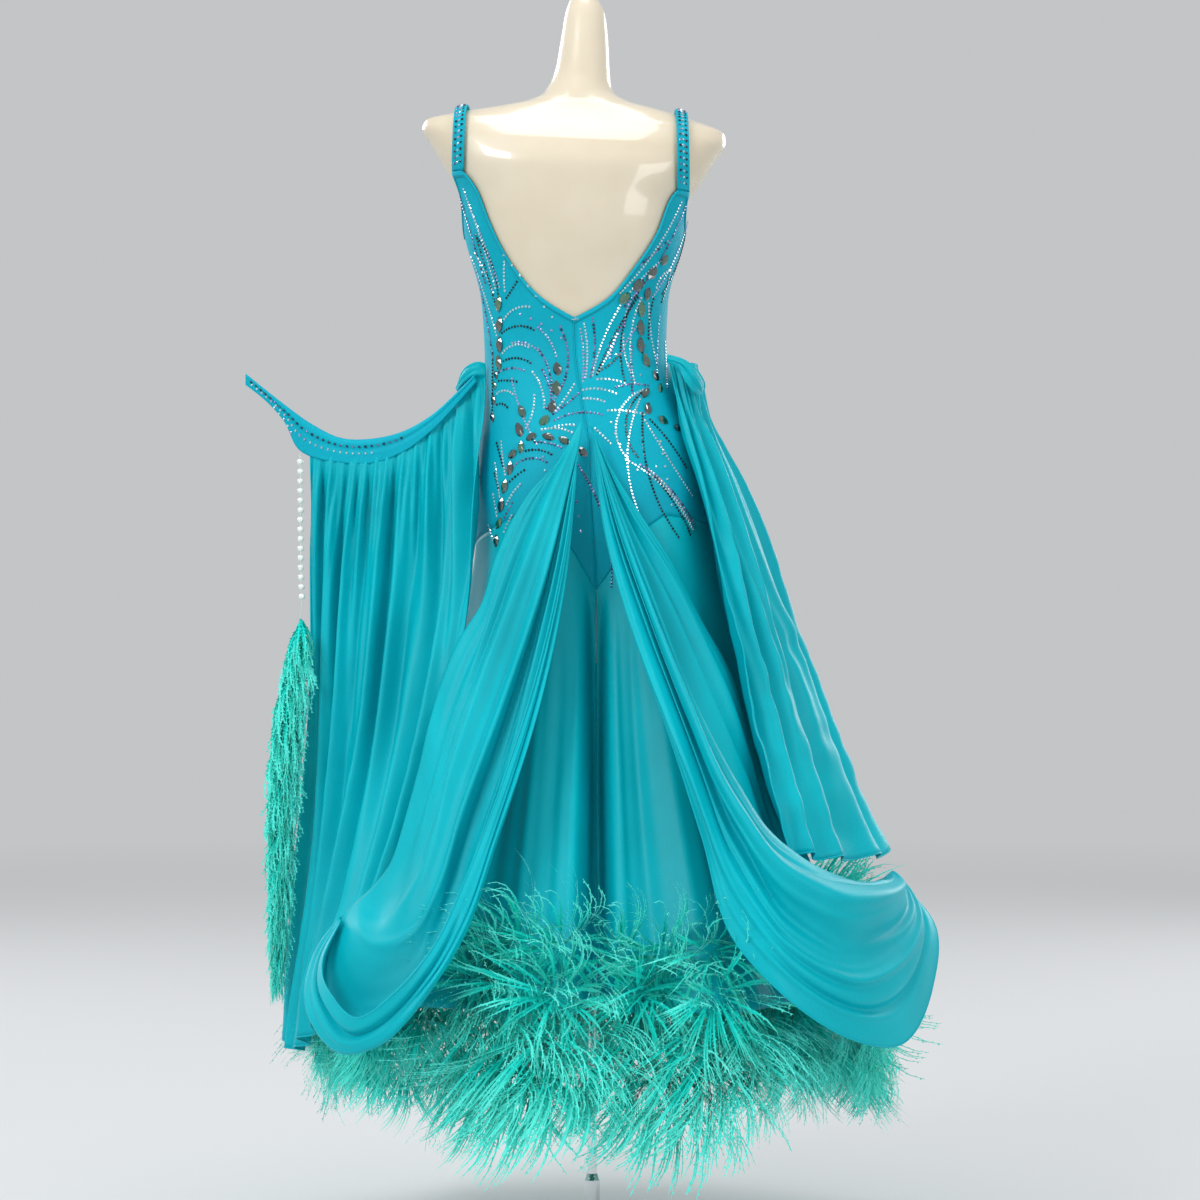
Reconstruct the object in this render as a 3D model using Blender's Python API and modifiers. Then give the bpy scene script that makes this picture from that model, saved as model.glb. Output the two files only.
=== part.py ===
"""Ballroom gown on a limbless dress form, modelled in metres with +Z up.

The origin is under the middle of the round base plate.  The gown's back faces -Y, so +X is
the wearer's right.  Cloth walls are open lofted sheets given their thickness by Solidify.
"""
import math

import bmesh
import bpy
import numpy as np

# ---------------------------------------------------------------- driving dimensions (metres)
GAP = 0.0003            # left at every seam and touching face
SEAM_DROP = 0.0006      # the same at sloping seams, measured straight down
CLOTH = 0.0016          # wall of a single layer of crepe or satin
CLEAR = 0.0042          # middle of the bodice cloth above the form
STRAP_WIDTH = 0.015
HEM_HEIGHT = 0.34       # lower edge of the skirt cloth, where the feather trim is sewn
HEM_HALF_WIDTH = 0.330
HEM_HALF_DEPTH = 0.330
HEM_CENTRE_X = 0.006
BASE_RADIUS = 0.180
BASE_THICKNESS = 0.008
POLE_RADIUS = 0.006
SLEEVE_RADIUS = 0.010
SLEEVE_TOP = 0.095
FORM_BOTTOM = 0.745
PEARL_RADIUS = 0.0042
PEARL_BORE = 0.0017
PEARL_PITCH = 0.0122
PEARL_COUNT = 15
THREAD_RADIUS = 0.0006

# The form, a row for each level: height, middle in x and y, half width, depth to the front,
# depth to the back, rise of the level line towards +X, squareness of the section.
FORM_LEVELS = [
    # z,     mid_x,  mid_y, half,  front, back,  rise,   square
    (0.745, 0.004, 0.000, 0.134, 0.088, 0.088, 0.030, 2.2),
    (0.850, 0.005, 0.000, 0.146, 0.092, 0.106, 0.035, 2.2),
    (0.945, 0.000, 0.000, 0.146, 0.092, 0.114, 0.035, 2.2),
    (1.013, -0.003, 0.002, 0.138, 0.092, 0.106, 0.035, 2.2),
    (1.077, -0.013, 0.006, 0.122, 0.088, 0.088, 0.030, 2.2),
    (1.140, -0.021, 0.010, 0.111, 0.084, 0.078, 0.018, 2.2),
    (1.201, -0.022, 0.010, 0.114, 0.092, 0.084, 0.000, 2.3),
    (1.280, -0.023, 0.006, 0.134, 0.106, 0.098, -0.025, 2.4),
    (1.325, -0.023, 0.004, 0.143, 0.102, 0.102, -0.040, 2.4),
    (1.363, -0.023, 0.000, 0.165, 0.092, 0.100, -0.048, 2.4),
    (1.394, -0.023, -0.002, 0.184, 0.078, 0.088, -0.048, 2.3),
    (1.411, -0.023, -0.003, 0.193, 0.066, 0.076, -0.048, 2.2),
    (1.422, -0.022, -0.004, 0.190, 0.056, 0.066, -0.045, 2.1),
    (1.435, -0.021, -0.005, 0.152, 0.046, 0.056, -0.035, 2.0),
    (1.445, -0.019, -0.005, 0.108, 0.041, 0.050, -0.020, 2.0),
    (1.454, -0.018, -0.004, 0.068, 0.038, 0.046, -0.010, 2.0),
    (1.466, -0.017, -0.002, 0.045, 0.036, 0.043, 0.000, 2.0),
    (1.490, -0.013, 0.002, 0.036, 0.034, 0.037, 0.000, 2.0),
    (1.530, -0.010, 0.006, 0.031, 0.031, 0.032, 0.000, 2.0),
    (1.566, -0.009, 0.008, 0.026, 0.026, 0.026, 0.000, 2.0),
    (1.585, -0.010, 0.009, 0.019, 0.019, 0.019, 0.000, 2.0),
    (1.592, -0.011, 0.009, 0.012, 0.012, 0.012, 0.000, 2.0),
    (1.595, -0.011, 0.009, 0.003, 0.003, 0.003, 0.000, 2.0),
]

# Top edge of the bodice: degrees round from the centre back towards +X, and height.
NECK_AND_ARMHOLES = [
    # degrees, z
    (-180, 1.262), (-158, 1.272), (-140, 1.318), (-131, 1.352), (-121, 1.352), (-106, 1.306),
    (-90, 1.284), (-78, 1.306), (-67, 1.352), (-57, 1.352), (-46, 1.296), (-34, 1.240),
    (-20, 1.204), (0, 1.174), (20, 1.202), (34, 1.240), (46, 1.286), (55, 1.340),
    (66, 1.340), (78, 1.306), (90, 1.288), (106, 1.306), (121, 1.348), (131, 1.348),
    (140, 1.318), (158, 1.272), (180, 1.262),
]

# Seam between bodice and skirt, in points at the centre back and front and at the sides.
HIP_SEAM = [
    # degrees, z
    (-180, 0.860), (-150, 0.925), (-115, 0.920), (-90, 0.897), (-62, 0.912), (-34, 0.932),
    (-16, 0.915), (-8, 0.880), (0, 0.836), (8, 0.868), (16, 0.900), (34, 0.925), (60.5, 0.918),
    (90, 0.912), (115, 0.925), (150, 0.925), (180, 0.860),
]

# Broad flares of the skirt: turns round, share of the flare depth, phase in degrees.
SKIRT_WAVES = [
    # waves, share, phase
    (9, 0.62, 90), (13, 0.26, 40), (5, 0.24, 200),
]
FLARE_DEPTH = 0.024
FLARE_POWER = 1.45      # how late the skirt spreads from the hips
BELOW_HEM_SPREAD = 0.15  # how much further the trim spreads below the hem
SLIT_DEPTH = 0.085      # the deep inverted fold down the centre back
SLIT_WIDTH = 3.4        # its half width, in degrees round the hem
SLIT_START, SLIT_RUN = 0.04, 0.5    # shares of the length where it begins and deepens over

# How far the trim fluffs out: less where a swag lies over it.
FEATHER_FLUFF = [
    # degrees, share
    (-180, 1.0), (-116, 1.0), (-98, 0.10), (-76, 0.06), (-42, 0.06), (-26, 1.0),
    (26, 1.0), (38, 0.06), (80, 0.06), (96, 0.2), (116, 1.0), (180, 1.0),
]

FLAT_TRIM = 0.018       # reach of the trim where a swag presses it flat

# Profile of the feather trim: share of the skirt's length (past 1 is below the hem) and
# distance out from the flares.
FEATHER_PROFILE = [
    # share, out
    (0.800, 0.020), (0.850, 0.050), (0.960, 0.078), (1.120, 0.088), (1.290, 0.066),
    (1.370, 0.022), (1.330, -0.030), (1.180, -0.040), (1.035, -0.030), (1.035, 0.012),
    (0.900, 0.012),
]


# Swags.  Each row is one line of the cloth, running from the gather at the foot of the zip,
# down and round, to where the swag is caught up again.  Row 0 hangs lowest.
RIGHT_SWAG = [
    # row, places along it (x, y, z)
    (0.00, ((0.001, -0.124, 1.035), (0.014, -0.150, 0.918), (0.050, -0.195, 0.782),
            (0.091, -0.250, 0.665), (0.129, -0.305, 0.546), (0.166, -0.350, 0.428),
            (0.219, -0.365, 0.370), (0.299, -0.320, 0.312), (0.374, -0.240, 0.295),
            (0.416, -0.160, 0.354), (0.424, -0.105, 0.421), (0.385, -0.070, 0.472))),
    (0.30, ((0.000, -0.125, 1.035), (0.025, -0.160, 0.918), (0.070, -0.215, 0.782),
            (0.117, -0.270, 0.657), (0.162, -0.320, 0.543), (0.230, -0.350, 0.442),
            (0.301, -0.320, 0.398), (0.361, -0.245, 0.406), (0.394, -0.160, 0.439),
            (0.388, -0.090, 0.468), (0.379, -0.055, 0.480))),
    (0.62, ((-0.001, -0.126, 1.036), (0.037, -0.158, 0.918), (0.082, -0.205, 0.799),
            (0.129, -0.252, 0.680), (0.175, -0.290, 0.594), (0.216, -0.305, 0.539),
            (0.262, -0.300, 0.510), (0.312, -0.255, 0.492), (0.356, -0.170, 0.482),
            (0.375, -0.085, 0.479), (0.376, -0.045, 0.482))),
    (0.82, ((-0.002, -0.125, 1.038), (0.045, -0.138, 0.919), (0.093, -0.160, 0.823),
            (0.140, -0.178, 0.714), (0.180, -0.184, 0.620), (0.220, -0.172, 0.530),
            (0.275, -0.168, 0.466), (0.325, -0.130, 0.462), (0.352, -0.085, 0.466),
            (0.364, -0.055, 0.471), (0.368, -0.030, 0.473))),
    (1.00, ((-0.004, -0.124, 1.041), (0.025, -0.129, 0.983), (0.060, -0.131, 0.928),
            (0.097, -0.128, 0.872), (0.135, -0.124, 0.798), (0.172, -0.117, 0.731),
            (0.200, -0.118, 0.639), (0.224, -0.138, 0.564), (0.265, -0.145, 0.485),
            (0.325, -0.095, 0.466), (0.360, -0.025, 0.469))),
]
LEFT_SWAG = [
    # row, places along it (x, y, z)
    (0.00, ((-0.016, -0.125, 1.022), (-0.031, -0.165, 0.896), (-0.068, -0.230, 0.727),
            (-0.108, -0.290, 0.599), (-0.146, -0.345, 0.499), (-0.184, -0.390, 0.421),
            (-0.224, -0.415, 0.376), (-0.264, -0.405, 0.346), (-0.303, -0.355, 0.369),
            (-0.317, -0.290, 0.398), (-0.300, -0.235, 0.440))),
    (0.25, ((-0.015, -0.126, 1.026), (-0.038, -0.180, 0.823), (-0.071, -0.245, 0.673),
            (-0.113, -0.315, 0.539), (-0.146, -0.365, 0.442), (-0.184, -0.395, 0.380),
            (-0.241, -0.395, 0.318), (-0.284, -0.375, 0.306), (-0.325, -0.325, 0.345),
            (-0.325, -0.265, 0.400), (-0.302, -0.225, 0.442))),
    (0.48, ((-0.013, -0.127, 1.031), (-0.048, -0.170, 0.823), (-0.086, -0.220, 0.671),
            (-0.130, -0.275, 0.536), (-0.163, -0.310, 0.440), (-0.200, -0.330, 0.380),
            (-0.248, -0.325, 0.340), (-0.288, -0.300, 0.342), (-0.308, -0.265, 0.385),
            (-0.306, -0.235, 0.422), (-0.297, -0.215, 0.446))),
    (0.68, ((-0.012, -0.127, 1.036), (-0.063, -0.172, 0.847), (-0.110, -0.220, 0.703),
            (-0.155, -0.268, 0.574), (-0.182, -0.298, 0.481), (-0.204, -0.308, 0.440),
            (-0.231, -0.305, 0.422), (-0.258, -0.285, 0.420), (-0.276, -0.255, 0.434),
            (-0.282, -0.225, 0.449), (-0.281, -0.205, 0.462))),
    (0.86, ((-0.012, -0.126, 1.041), (-0.070, -0.144, 0.933), (-0.120, -0.172, 0.799),
            (-0.161, -0.205, 0.678), (-0.188, -0.235, 0.582), (-0.212, -0.250, 0.509),
            (-0.230, -0.245, 0.472), (-0.245, -0.232, 0.462), (-0.254, -0.215, 0.470),
            (-0.258, -0.200, 0.484))),
    (1.00, ((-0.012, -0.125, 1.046), (-0.041, -0.131, 0.993), (-0.076, -0.131, 0.955),
            (-0.117, -0.130, 0.878), (-0.136, -0.137, 0.818), (-0.163, -0.147, 0.774),
            (-0.181, -0.155, 0.732), (-0.197, -0.163, 0.677), (-0.209, -0.175, 0.621),
            (-0.226, -0.188, 0.557), (-0.240, -0.195, 0.508))),
]
# Floats.  Each row is one thread of the cloth hanging from its gathered top.
RIGHT_FLOAT = [
    # row, places down it (x, y, z)
    (0.00, ((0.096, -0.052, 1.120), (0.114, -0.082, 1.036), (0.131, -0.100, 0.973),
            (0.149, -0.120, 0.885), (0.168, -0.138, 0.786), (0.190, -0.165, 0.675),
            (0.211, -0.203, 0.588), (0.229, -0.218, 0.524))),
    (0.28, ((0.118, -0.036, 1.122), (0.134, -0.058, 1.036), (0.158, -0.072, 0.965),
            (0.190, -0.082, 0.870), (0.220, -0.092, 0.770), (0.250, -0.105, 0.660),
            (0.276, -0.125, 0.570), (0.295, -0.142, 0.506))),
    (0.55, ((0.132, 0.000, 1.122), (0.149, 0.008, 1.032), (0.182, 0.015, 0.970),
            (0.240, 0.022, 0.823), (0.305, 0.030, 0.656), (0.330, 0.032, 0.592),
            (0.352, 0.034, 0.545), (0.377, 0.034, 0.500))),
    (0.80, ((0.122, 0.045, 1.120), (0.142, 0.075, 1.030), (0.172, 0.100, 0.950),
            (0.215, 0.122, 0.800), (0.255, 0.150, 0.670), (0.285, 0.172, 0.570),
            (0.305, 0.186, 0.506))),
    (1.00, ((0.104, 0.072, 1.118), (0.120, 0.110, 1.030), (0.138, 0.140, 0.950),
            (0.160, 0.175, 0.800), (0.182, 0.210, 0.670), (0.200, 0.240, 0.570),
            (0.212, 0.262, 0.515))),
]
LEFT_FLOAT = [
    # row, places down it (x, y, z)
    (0.00, ((-0.357, -0.004, 1.000), (-0.357, -0.006, 0.874), (-0.357, -0.010, 0.646),
            (-0.370, -0.014, 0.510), (-0.380, -0.018, 0.369), (-0.384, -0.022, 0.268))),
    (0.20, ((-0.316, -0.008, 0.991), (-0.326, -0.020, 0.823), (-0.332, -0.040, 0.621),
            (-0.346, -0.060, 0.446), (-0.362, -0.075, 0.320), (-0.368, -0.080, 0.264))),
    (0.42, ((-0.270, -0.011, 0.989), (-0.280, -0.032, 0.823), (-0.296, -0.070, 0.622),
            (-0.322, -0.110, 0.448), (-0.345, -0.135, 0.340), (-0.352, -0.140, 0.285))),
    (0.62, ((-0.222, -0.012, 1.020), (-0.232, -0.045, 0.823), (-0.256, -0.095, 0.622),
            (-0.290, -0.150, 0.470), (-0.318, -0.180, 0.375), (-0.328, -0.190, 0.320))),
    (0.82, ((-0.180, -0.014, 1.050), (-0.186, -0.066, 0.823), (-0.220, -0.125, 0.622),
            (-0.252, -0.172, 0.500), (-0.278, -0.200, 0.425), (-0.290, -0.210, 0.385))),
    (1.00, ((-0.134, -0.030, 1.097), (-0.133, -0.056, 1.040), (-0.136, -0.077, 0.975),
            (-0.158, -0.112, 0.772), (-0.199, -0.142, 0.622), (-0.226, -0.170, 0.530),
            (-0.243, -0.180, 0.472))),
]
LEFT_BAND = [
    # row, places along it (x, y, z)
    (0.00, ((-0.440, 0.000, 1.110), (-0.419, 0.000, 1.093), (-0.391, -0.001, 1.071),
            (-0.356, -0.003, 1.046), (-0.318, -0.006, 1.028), (-0.279, -0.009, 1.027),
            (-0.240, -0.012, 1.036), (-0.208, -0.017, 1.053), (-0.169, -0.028, 1.086),
            (-0.148, -0.037, 1.106))),
    (1.00, ((-0.440, 0.000, 1.096), (-0.419, 0.000, 1.080), (-0.391, -0.001, 1.050),
            (-0.372, -0.002, 1.014), (-0.318, -0.006, 0.997), (-0.275, -0.009, 0.997),
            (-0.238, -0.012, 1.011), (-0.205, -0.017, 1.035), (-0.165, -0.028, 1.076),
            (-0.145, -0.037, 1.098))),
]
LEFT_FLAP = [
    # row, places round the folded flap (x, y, z)
    (0.00, ((-0.134, -0.026, 1.100), (-0.143, -0.024, 1.100), (-0.152, -0.021, 1.098),
            (-0.160, -0.018, 1.092), (-0.166, -0.016, 1.088), (-0.170, -0.014, 1.086))),
    (0.50, ((-0.134, -0.030, 1.111), (-0.144, -0.034, 1.112), (-0.154, -0.032, 1.109),
            (-0.162, -0.027, 1.102), (-0.168, -0.021, 1.094), (-0.171, -0.015, 1.088))),
    (1.00, ((-0.135, -0.027, 1.120), (-0.142, -0.030, 1.122), (-0.154, -0.026, 1.119),
            (-0.163, -0.018, 1.112), (-0.169, -0.013, 1.098), (-0.172, -0.011, 1.090))),
]
RIGHT_FLAP = [
    # row, places round the folded flap (x, y, z)
    (0.00, ((0.093, -0.063, 1.120), (0.107, -0.072, 1.113), (0.115, -0.078, 1.097),
            (0.125, -0.072, 1.084), (0.134, -0.058, 1.079))),
    (0.50, ((0.094, -0.067, 1.125), (0.114, -0.077, 1.116), (0.126, -0.077, 1.102),
            (0.134, -0.066, 1.090), (0.138, -0.050, 1.082))),
    (1.00, ((0.095, -0.060, 1.129), (0.115, -0.067, 1.122), (0.135, -0.058, 1.105),
            (0.141, -0.046, 1.092), (0.139, -0.038, 1.084))),
]

# Folds pressed into a hanging cloth: where they lie across it, how wide and how deep they
# are, and the stretch of its length that they fade in and out over.
RIGHT_SWAG_FOLDS = [
    # across, width, depth, from, to
    (0.14, 0.050, 0.012, 0.05, 0.55), (0.36, 0.045, -0.014, 0.03, 0.95),
    (0.50, 0.040, 0.014, 0.05, 1.00), (0.74, 0.030, -0.018, 0.02, 0.80),
    (0.90, 0.030, 0.010, 0.03, 0.70),
]
LEFT_SWAG_FOLDS = [
    # across, width, depth, from, to
    (0.36, 0.045, -0.012, 0.03, 0.60), (0.58, 0.040, 0.012, 0.04, 0.75),
    (0.78, 0.030, -0.014, 0.03, 0.90), (0.93, 0.025, 0.008, 0.05, 0.95),
]
FLOAT_FOLDS = 7         # soft pleats across each float
FLOAT_FOLD_DEPTH = 0.009
PLEAT_EASE = 0.15       # share of a float's length that its pleats open over
TOP_EASE = 0.2          # share of the left float's length that its shaped top eases into

# The feather drop: middle of its stem and how far its barbs reach, from the top down.
FEATHER_DROP = [
    # x, y, z, radius
    (-0.3645, -0.046, 0.8165, 0.012), (-0.3660, -0.046, 0.800, 0.028),
    (-0.3700, -0.047, 0.770, 0.033), (-0.3820, -0.049, 0.700, 0.033),
    (-0.3880, -0.050, 0.600, 0.029), (-0.3910, -0.052, 0.500, 0.025),
    (-0.3930, -0.053, 0.400, 0.019), (-0.3950, -0.054, 0.320, 0.010),
]
THREAD_ROUTE = [
    # x, y, z
    (-0.3705, -0.0062, 1.0100), (-0.3700, -0.0080, 1.0020), (-0.3688, -0.0150, 0.960),
    (-0.3672, -0.0300, 0.890), (-0.3658, -0.0400, 0.850), (-0.3645, -0.0455, 0.8172),
]

# ------------------------------------------------------------------------------- scene set-up
for old in list(bpy.data.objects):
    bpy.data.objects.remove(old, do_unlink=True)
PARTS = bpy.data.collections.new("ballroom_gown")
bpy.context.scene.collection.children.link(PARTS)


def material(name, colour, roughness, metallic=0.0):
    """A plain Principled material."""
    made = bpy.data.materials.new(name)
    made.use_nodes = True
    shader = made.node_tree.nodes["Principled BSDF"]
    shader.inputs["Base Color"].default_value = (*colour, 1.0)
    shader.inputs["Roughness"].default_value = roughness
    shader.inputs["Metallic"].default_value = metallic
    made.diffuse_color = (*colour, 1.0)
    return made


# ------------------------------------------------------------------------------ small helpers
def smooth_between(knots, values, at):
    """Values between the rows of a table, by a cubic that never overshoots the rows."""
    knots = np.asarray(knots, float)
    values = np.asarray(values, float).reshape(len(knots), -1)
    at = np.clip(np.asarray(at, float), knots[0], knots[-1])
    rise = np.diff(values, axis=0) / np.diff(knots)[:, None]
    slope = np.vstack([rise[:1], np.zeros_like(rise[1:]), rise[-1:]])
    product = rise[:-1] * rise[1:]
    total = np.where(product > 0, rise[:-1] + rise[1:], 1.0)
    slope[1:-1] = np.where(product > 0, 2 * product / total, 0.0)
    return hermite(knots, values, slope, at)


def hermite(knots, values, slope, at):
    """The cubic through the values, with the slopes, at the places."""
    i = np.clip(np.searchsorted(knots, at, side="right") - 1, 0, len(knots) - 2)
    width = (knots[i + 1] - knots[i])[..., None]
    t = (at - knots[i])[..., None] / width
    blend = t * t * (3 - 2 * t)
    turn = width * t * (1 - t) * (slope[i] * (1 - t) - slope[i + 1] * t)
    return values[i] * (1 - blend) + values[i + 1] * blend + turn


def through(points, shares, knots=None):
    """Places on a rounded curve through the points, at the given shares of its run."""
    points = np.asarray(points, float)
    if knots is None:
        legs = np.linalg.norm(np.diff(points.reshape(len(points), -1), axis=0), axis=1)
        knots = np.concatenate([[0.0], np.cumsum(legs)]) / np.sum(legs)
    knots = np.asarray(knots, float)
    slope = np.gradient(points, knots, axis=0)
    return hermite(knots, points, slope, np.clip(np.asarray(shares, float), 0, 1))


def power(value, exponent):
    """A power that keeps the sign."""
    return np.sign(value) * np.abs(value) ** exponent


def normals_of(grid):
    """Unit normals of a grid of points, indexed [along, across]."""
    along = np.gradient(grid, axis=0)
    across = np.gradient(grid, axis=1)
    normal = np.cross(along, across)
    return normal / np.maximum(np.linalg.norm(normal, axis=2, keepdims=True), 1e-12)


# ----------------------------------------------------------------------- the figure's surface
def figure(degrees, z, out=0.0):
    """Places on the form's surface, moved out level by a distance."""
    level = smooth_between([row[0] for row in FORM_LEVELS], [row[1:] for row in FORM_LEVELS], z)
    mid_x, mid_y, half, front, back, rise, square = np.moveaxis(level, -1, 0)
    turn = np.radians(degrees)
    side = power(np.sin(turn), 2 / square)
    rear = power(np.cos(turn), 2 / square)
    depth = np.where(rear > 0, back, front)
    x = mid_x + (half + out) * side
    y = mid_y - (depth + out) * rear
    return np.stack([x, y, z + rise * (x - mid_x)], axis=-1)


def seam_height(degrees):
    """Height of the seam between bodice and skirt, straight between its rows."""
    return np.interp(degrees, *zip(*HIP_SEAM))


def neck_height(degrees):
    """Height of the bodice's top edge."""
    return smooth_between(*zip(*NECK_AND_ARMHOLES), degrees)[..., 0]


def flares(degrees):
    """Broad soft waves round the skirt, between about -1 and 1."""
    turn = np.radians(degrees)
    return sum(share * np.cos(waves * turn + math.radians(phase))
               for waves, share, phase in SKIRT_WAVES)


def skirt(degrees, share, out=0.0, slit=1.0):
    """Places on the skirt, from the hip seam (share 0) to the hem (share 1) and past it."""
    top = figure(degrees, seam_height(degrees) - SEAM_DROP, CLEAR + out)
    turn = np.radians(degrees)
    spread = np.clip(share, 0, 1) ** FLARE_POWER + BELOW_HEM_SPREAD * np.maximum(share - 1, 0)
    hem_x = HEM_CENTRE_X + (HEM_HALF_WIDTH + out) * np.sin(turn)
    hem_y = -(HEM_HALF_DEPTH + out) * np.cos(turn)
    wave = FLARE_DEPTH * flares(degrees) * np.clip(share, 0, 1) ** 1.2
    groove = SLIT_DEPTH * slit * np.clip((share - SLIT_START) / SLIT_RUN, 0, 1) ** 0.8
    wave = wave - groove * np.exp(-(degrees / SLIT_WIDTH) ** 4)
    x = top[..., 0] + (hem_x - top[..., 0]) * spread + wave * np.sin(turn)
    y = top[..., 1] + (hem_y - top[..., 1]) * spread - wave * np.cos(turn)
    z = top[..., 2] + (HEM_HEIGHT - top[..., 2]) * share
    return np.stack([x, y, z], axis=-1)


def hanging(rows, along, across, folds=(), pleats=0, pleat_depth=0.0):
    """A hanging cloth: a grid of places from a table of rows, with its folds."""
    lines = np.stack([through(places, along) for _, places in rows])
    knots = np.array([row[0] for row in rows])
    grid = np.stack([through(lines[:, i], across, knots) for i in range(len(along))])
    lift = np.zeros((len(along), len(across)))
    for middle, width, depth, start, stop in folds:
        fade = np.sin(np.pi * np.clip((along - start) / (stop - start), 0, 1)) ** 0.7
        lift += depth * fade[:, None] * np.exp(-((across - middle) / width) ** 2)[None, :]
    if pleats:
        fade = np.clip(along / PLEAT_EASE, 0.3, 1)
        lift += pleat_depth * fade[:, None] * np.cos(2 * np.pi * pleats * across)[None, :]
    return grid + normals_of(grid) * lift[..., None]


def hung_from(grid, along, edge):
    """The cloth with its top brought up to a gap below an edge, easing out down its length."""
    top = np.interp(grid[0, :, 0], edge[:, 0], edge[:, 2]) - SEAM_DROP
    ease = np.clip(1 - along / TOP_EASE, 0, 1)
    risen = grid.copy()
    risen[..., 2] += ease[:, None] * (top - grid[0, :, 2])[None, :]
    return risen


# -------------------------------------------------------------------------- making the solids
def add_mesh(name, vertices, faces, finish, smooth=True):
    """One named object from vertices and faces, with its faces pointing out."""
    mesh = bpy.data.meshes.new(name)
    mesh.from_pydata([tuple(map(float, v)) for v in vertices], [], faces)
    work = bmesh.new()
    work.from_mesh(mesh)
    bmesh.ops.recalc_face_normals(work, faces=work.faces)
    work.to_mesh(mesh)
    work.free()
    mesh.materials.append(finish)
    if smooth:
        mesh.shade_smooth()
    made = bpy.data.objects.new(name, mesh)
    PARTS.objects.link(made)
    return made


def sheet(name, grid, finish, wall=CLOTH):
    """A cloth wall on a grid of places, given its thickness by Solidify."""
    rows, columns = grid.shape[:2]
    faces = [(r * columns + c, r * columns + c + 1, (r + 1) * columns + c + 1, (r + 1) * columns + c)
             for r in range(rows - 1) for c in range(columns - 1)]
    made = add_mesh(name, grid.reshape(-1, 3), faces, finish)
    thick = made.modifiers.new("wall", "SOLIDIFY")
    thick.thickness = wall
    thick.offset = 0.0
    return made


def lofted(name, rings, finish, closed_run=False):
    """A closed solid through rings of places: a body with two ends, or a ring."""
    count = len(rings)
    size = len(rings[0])
    steps = count if closed_run else count - 1
    faces = [(r * size + c, r * size + (c + 1) % size,
              ((r + 1) % count) * size + (c + 1) % size, ((r + 1) % count) * size + c)
             for r in range(steps) for c in range(size)]
    if not closed_run:
        faces += [tuple(range(size)), tuple((count - 1) * size + c for c in range(size))]
    return add_mesh(name, np.concatenate(rings), faces, finish)


def turned(name, profile, finish, steps=32, at=(0, 0, 0)):
    """A turned solid: a profile of (radius, height), from the top down its outer side."""
    mesh = bpy.data.meshes.new(name)
    edges = [(i, i + 1) for i in range(len(profile) - 1)]
    if profile[0][0] > 0:
        edges.append((len(profile) - 1, 0))
    mesh.from_pydata([(radius, 0, height) for radius, height in profile], edges, [])
    mesh.materials.append(finish)
    made = bpy.data.objects.new(name, mesh)
    made.location = at
    PARTS.objects.link(made)
    screw = made.modifiers.new("turn", "SCREW")
    screw.steps = steps
    screw.render_steps = steps
    screw.use_merge_vertices = True
    screw.merge_threshold = 0.00001
    screw.use_smooth_shade = True
    return made


def tube(name, places, radius, finish, resolution=2):
    """A round cord or wire along its places."""
    curve = bpy.data.curves.new(name, "CURVE")
    curve.dimensions = "3D"
    line = curve.splines.new("POLY")
    line.points.add(len(places) - 1)
    for point, place in zip(line.points, places):
        point.co = (*map(float, place), 1.0)
    curve.bevel_depth = radius
    curve.bevel_resolution = resolution
    curve.use_fill_caps = True
    curve.materials.append(finish)
    made = bpy.data.objects.new(name, curve)
    PARTS.objects.link(made)
    return made


# ----------------------------------------------------------------------------- form and stand
LEVELS_BETWEEN = (0.898, 0.980, 1.045, 1.110, 1.170, 1.240, 1.303, 1.344)


def build_form():
    """The limbless torso: level rings from the hips to the top of the neck."""
    heights = [row[0] for row in FORM_LEVELS]
    levels = sorted(heights + list(LEVELS_BETWEEN))
    around = np.linspace(-180, 180, 36, endpoint=False)
    rings = [figure(around, np.full(len(around), z)) for z in levels]
    rings[0][:, 2] = FORM_BOTTOM
    lofted("form_torso", rings, IVORY)


def build_stand():
    """Collar, pole, sleeve and round base, each a touching-face gap from the next."""
    turned("form_base", [(0, BASE_THICKNESS), (BASE_RADIUS - 0.003, BASE_THICKNESS),
                         (BASE_RADIUS, BASE_THICKNESS - 0.003), (BASE_RADIUS, 0.0), (0, 0.0)],
           CHROME, steps=48)
    foot = BASE_THICKNESS + GAP
    turned("form_sleeve", [(0, SLEEVE_TOP), (POLE_RADIUS + 0.001, SLEEVE_TOP),
                           (SLEEVE_RADIUS, SLEEVE_TOP - 0.008), (SLEEVE_RADIUS, 0.024),
                           (0.030, 0.013), (0.034, foot), (0, foot)], CHROME, steps=24)
    collar_foot = FORM_BOTTOM - 0.012
    turned("form_pole", [(0, collar_foot - GAP), (POLE_RADIUS, collar_foot - GAP),
                         (POLE_RADIUS, SLEEVE_TOP + GAP), (0, SLEEVE_TOP + GAP)], CHROME, steps=16)
    turned("form_collar", [(0, FORM_BOTTOM - GAP), (0.026, FORM_BOTTOM - GAP),
                           (0.026, collar_foot + 0.003), (0.023, collar_foot), (0, collar_foot)],
           CHROME, steps=24)


# ------------------------------------------------------------------------------------- bodice
ZIP_TOP_DROP = 0.003
ZIP_FOOT = 1.035
ZIP_HALF_WIDTH = 0.0019
ZIP_FOOT_EASE = 0.012   # the backs close over this much height below the zip's foot


def centre_gap(z):
    """Half the space between the back panels: the zip's width, closing below its foot."""
    ease = np.clip((ZIP_FOOT - z) / ZIP_FOOT_EASE - 1, 0, 1)
    return (ZIP_HALF_WIDTH + 2 * GAP) * (1 - ease) + GAP / 2 * ease


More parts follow.
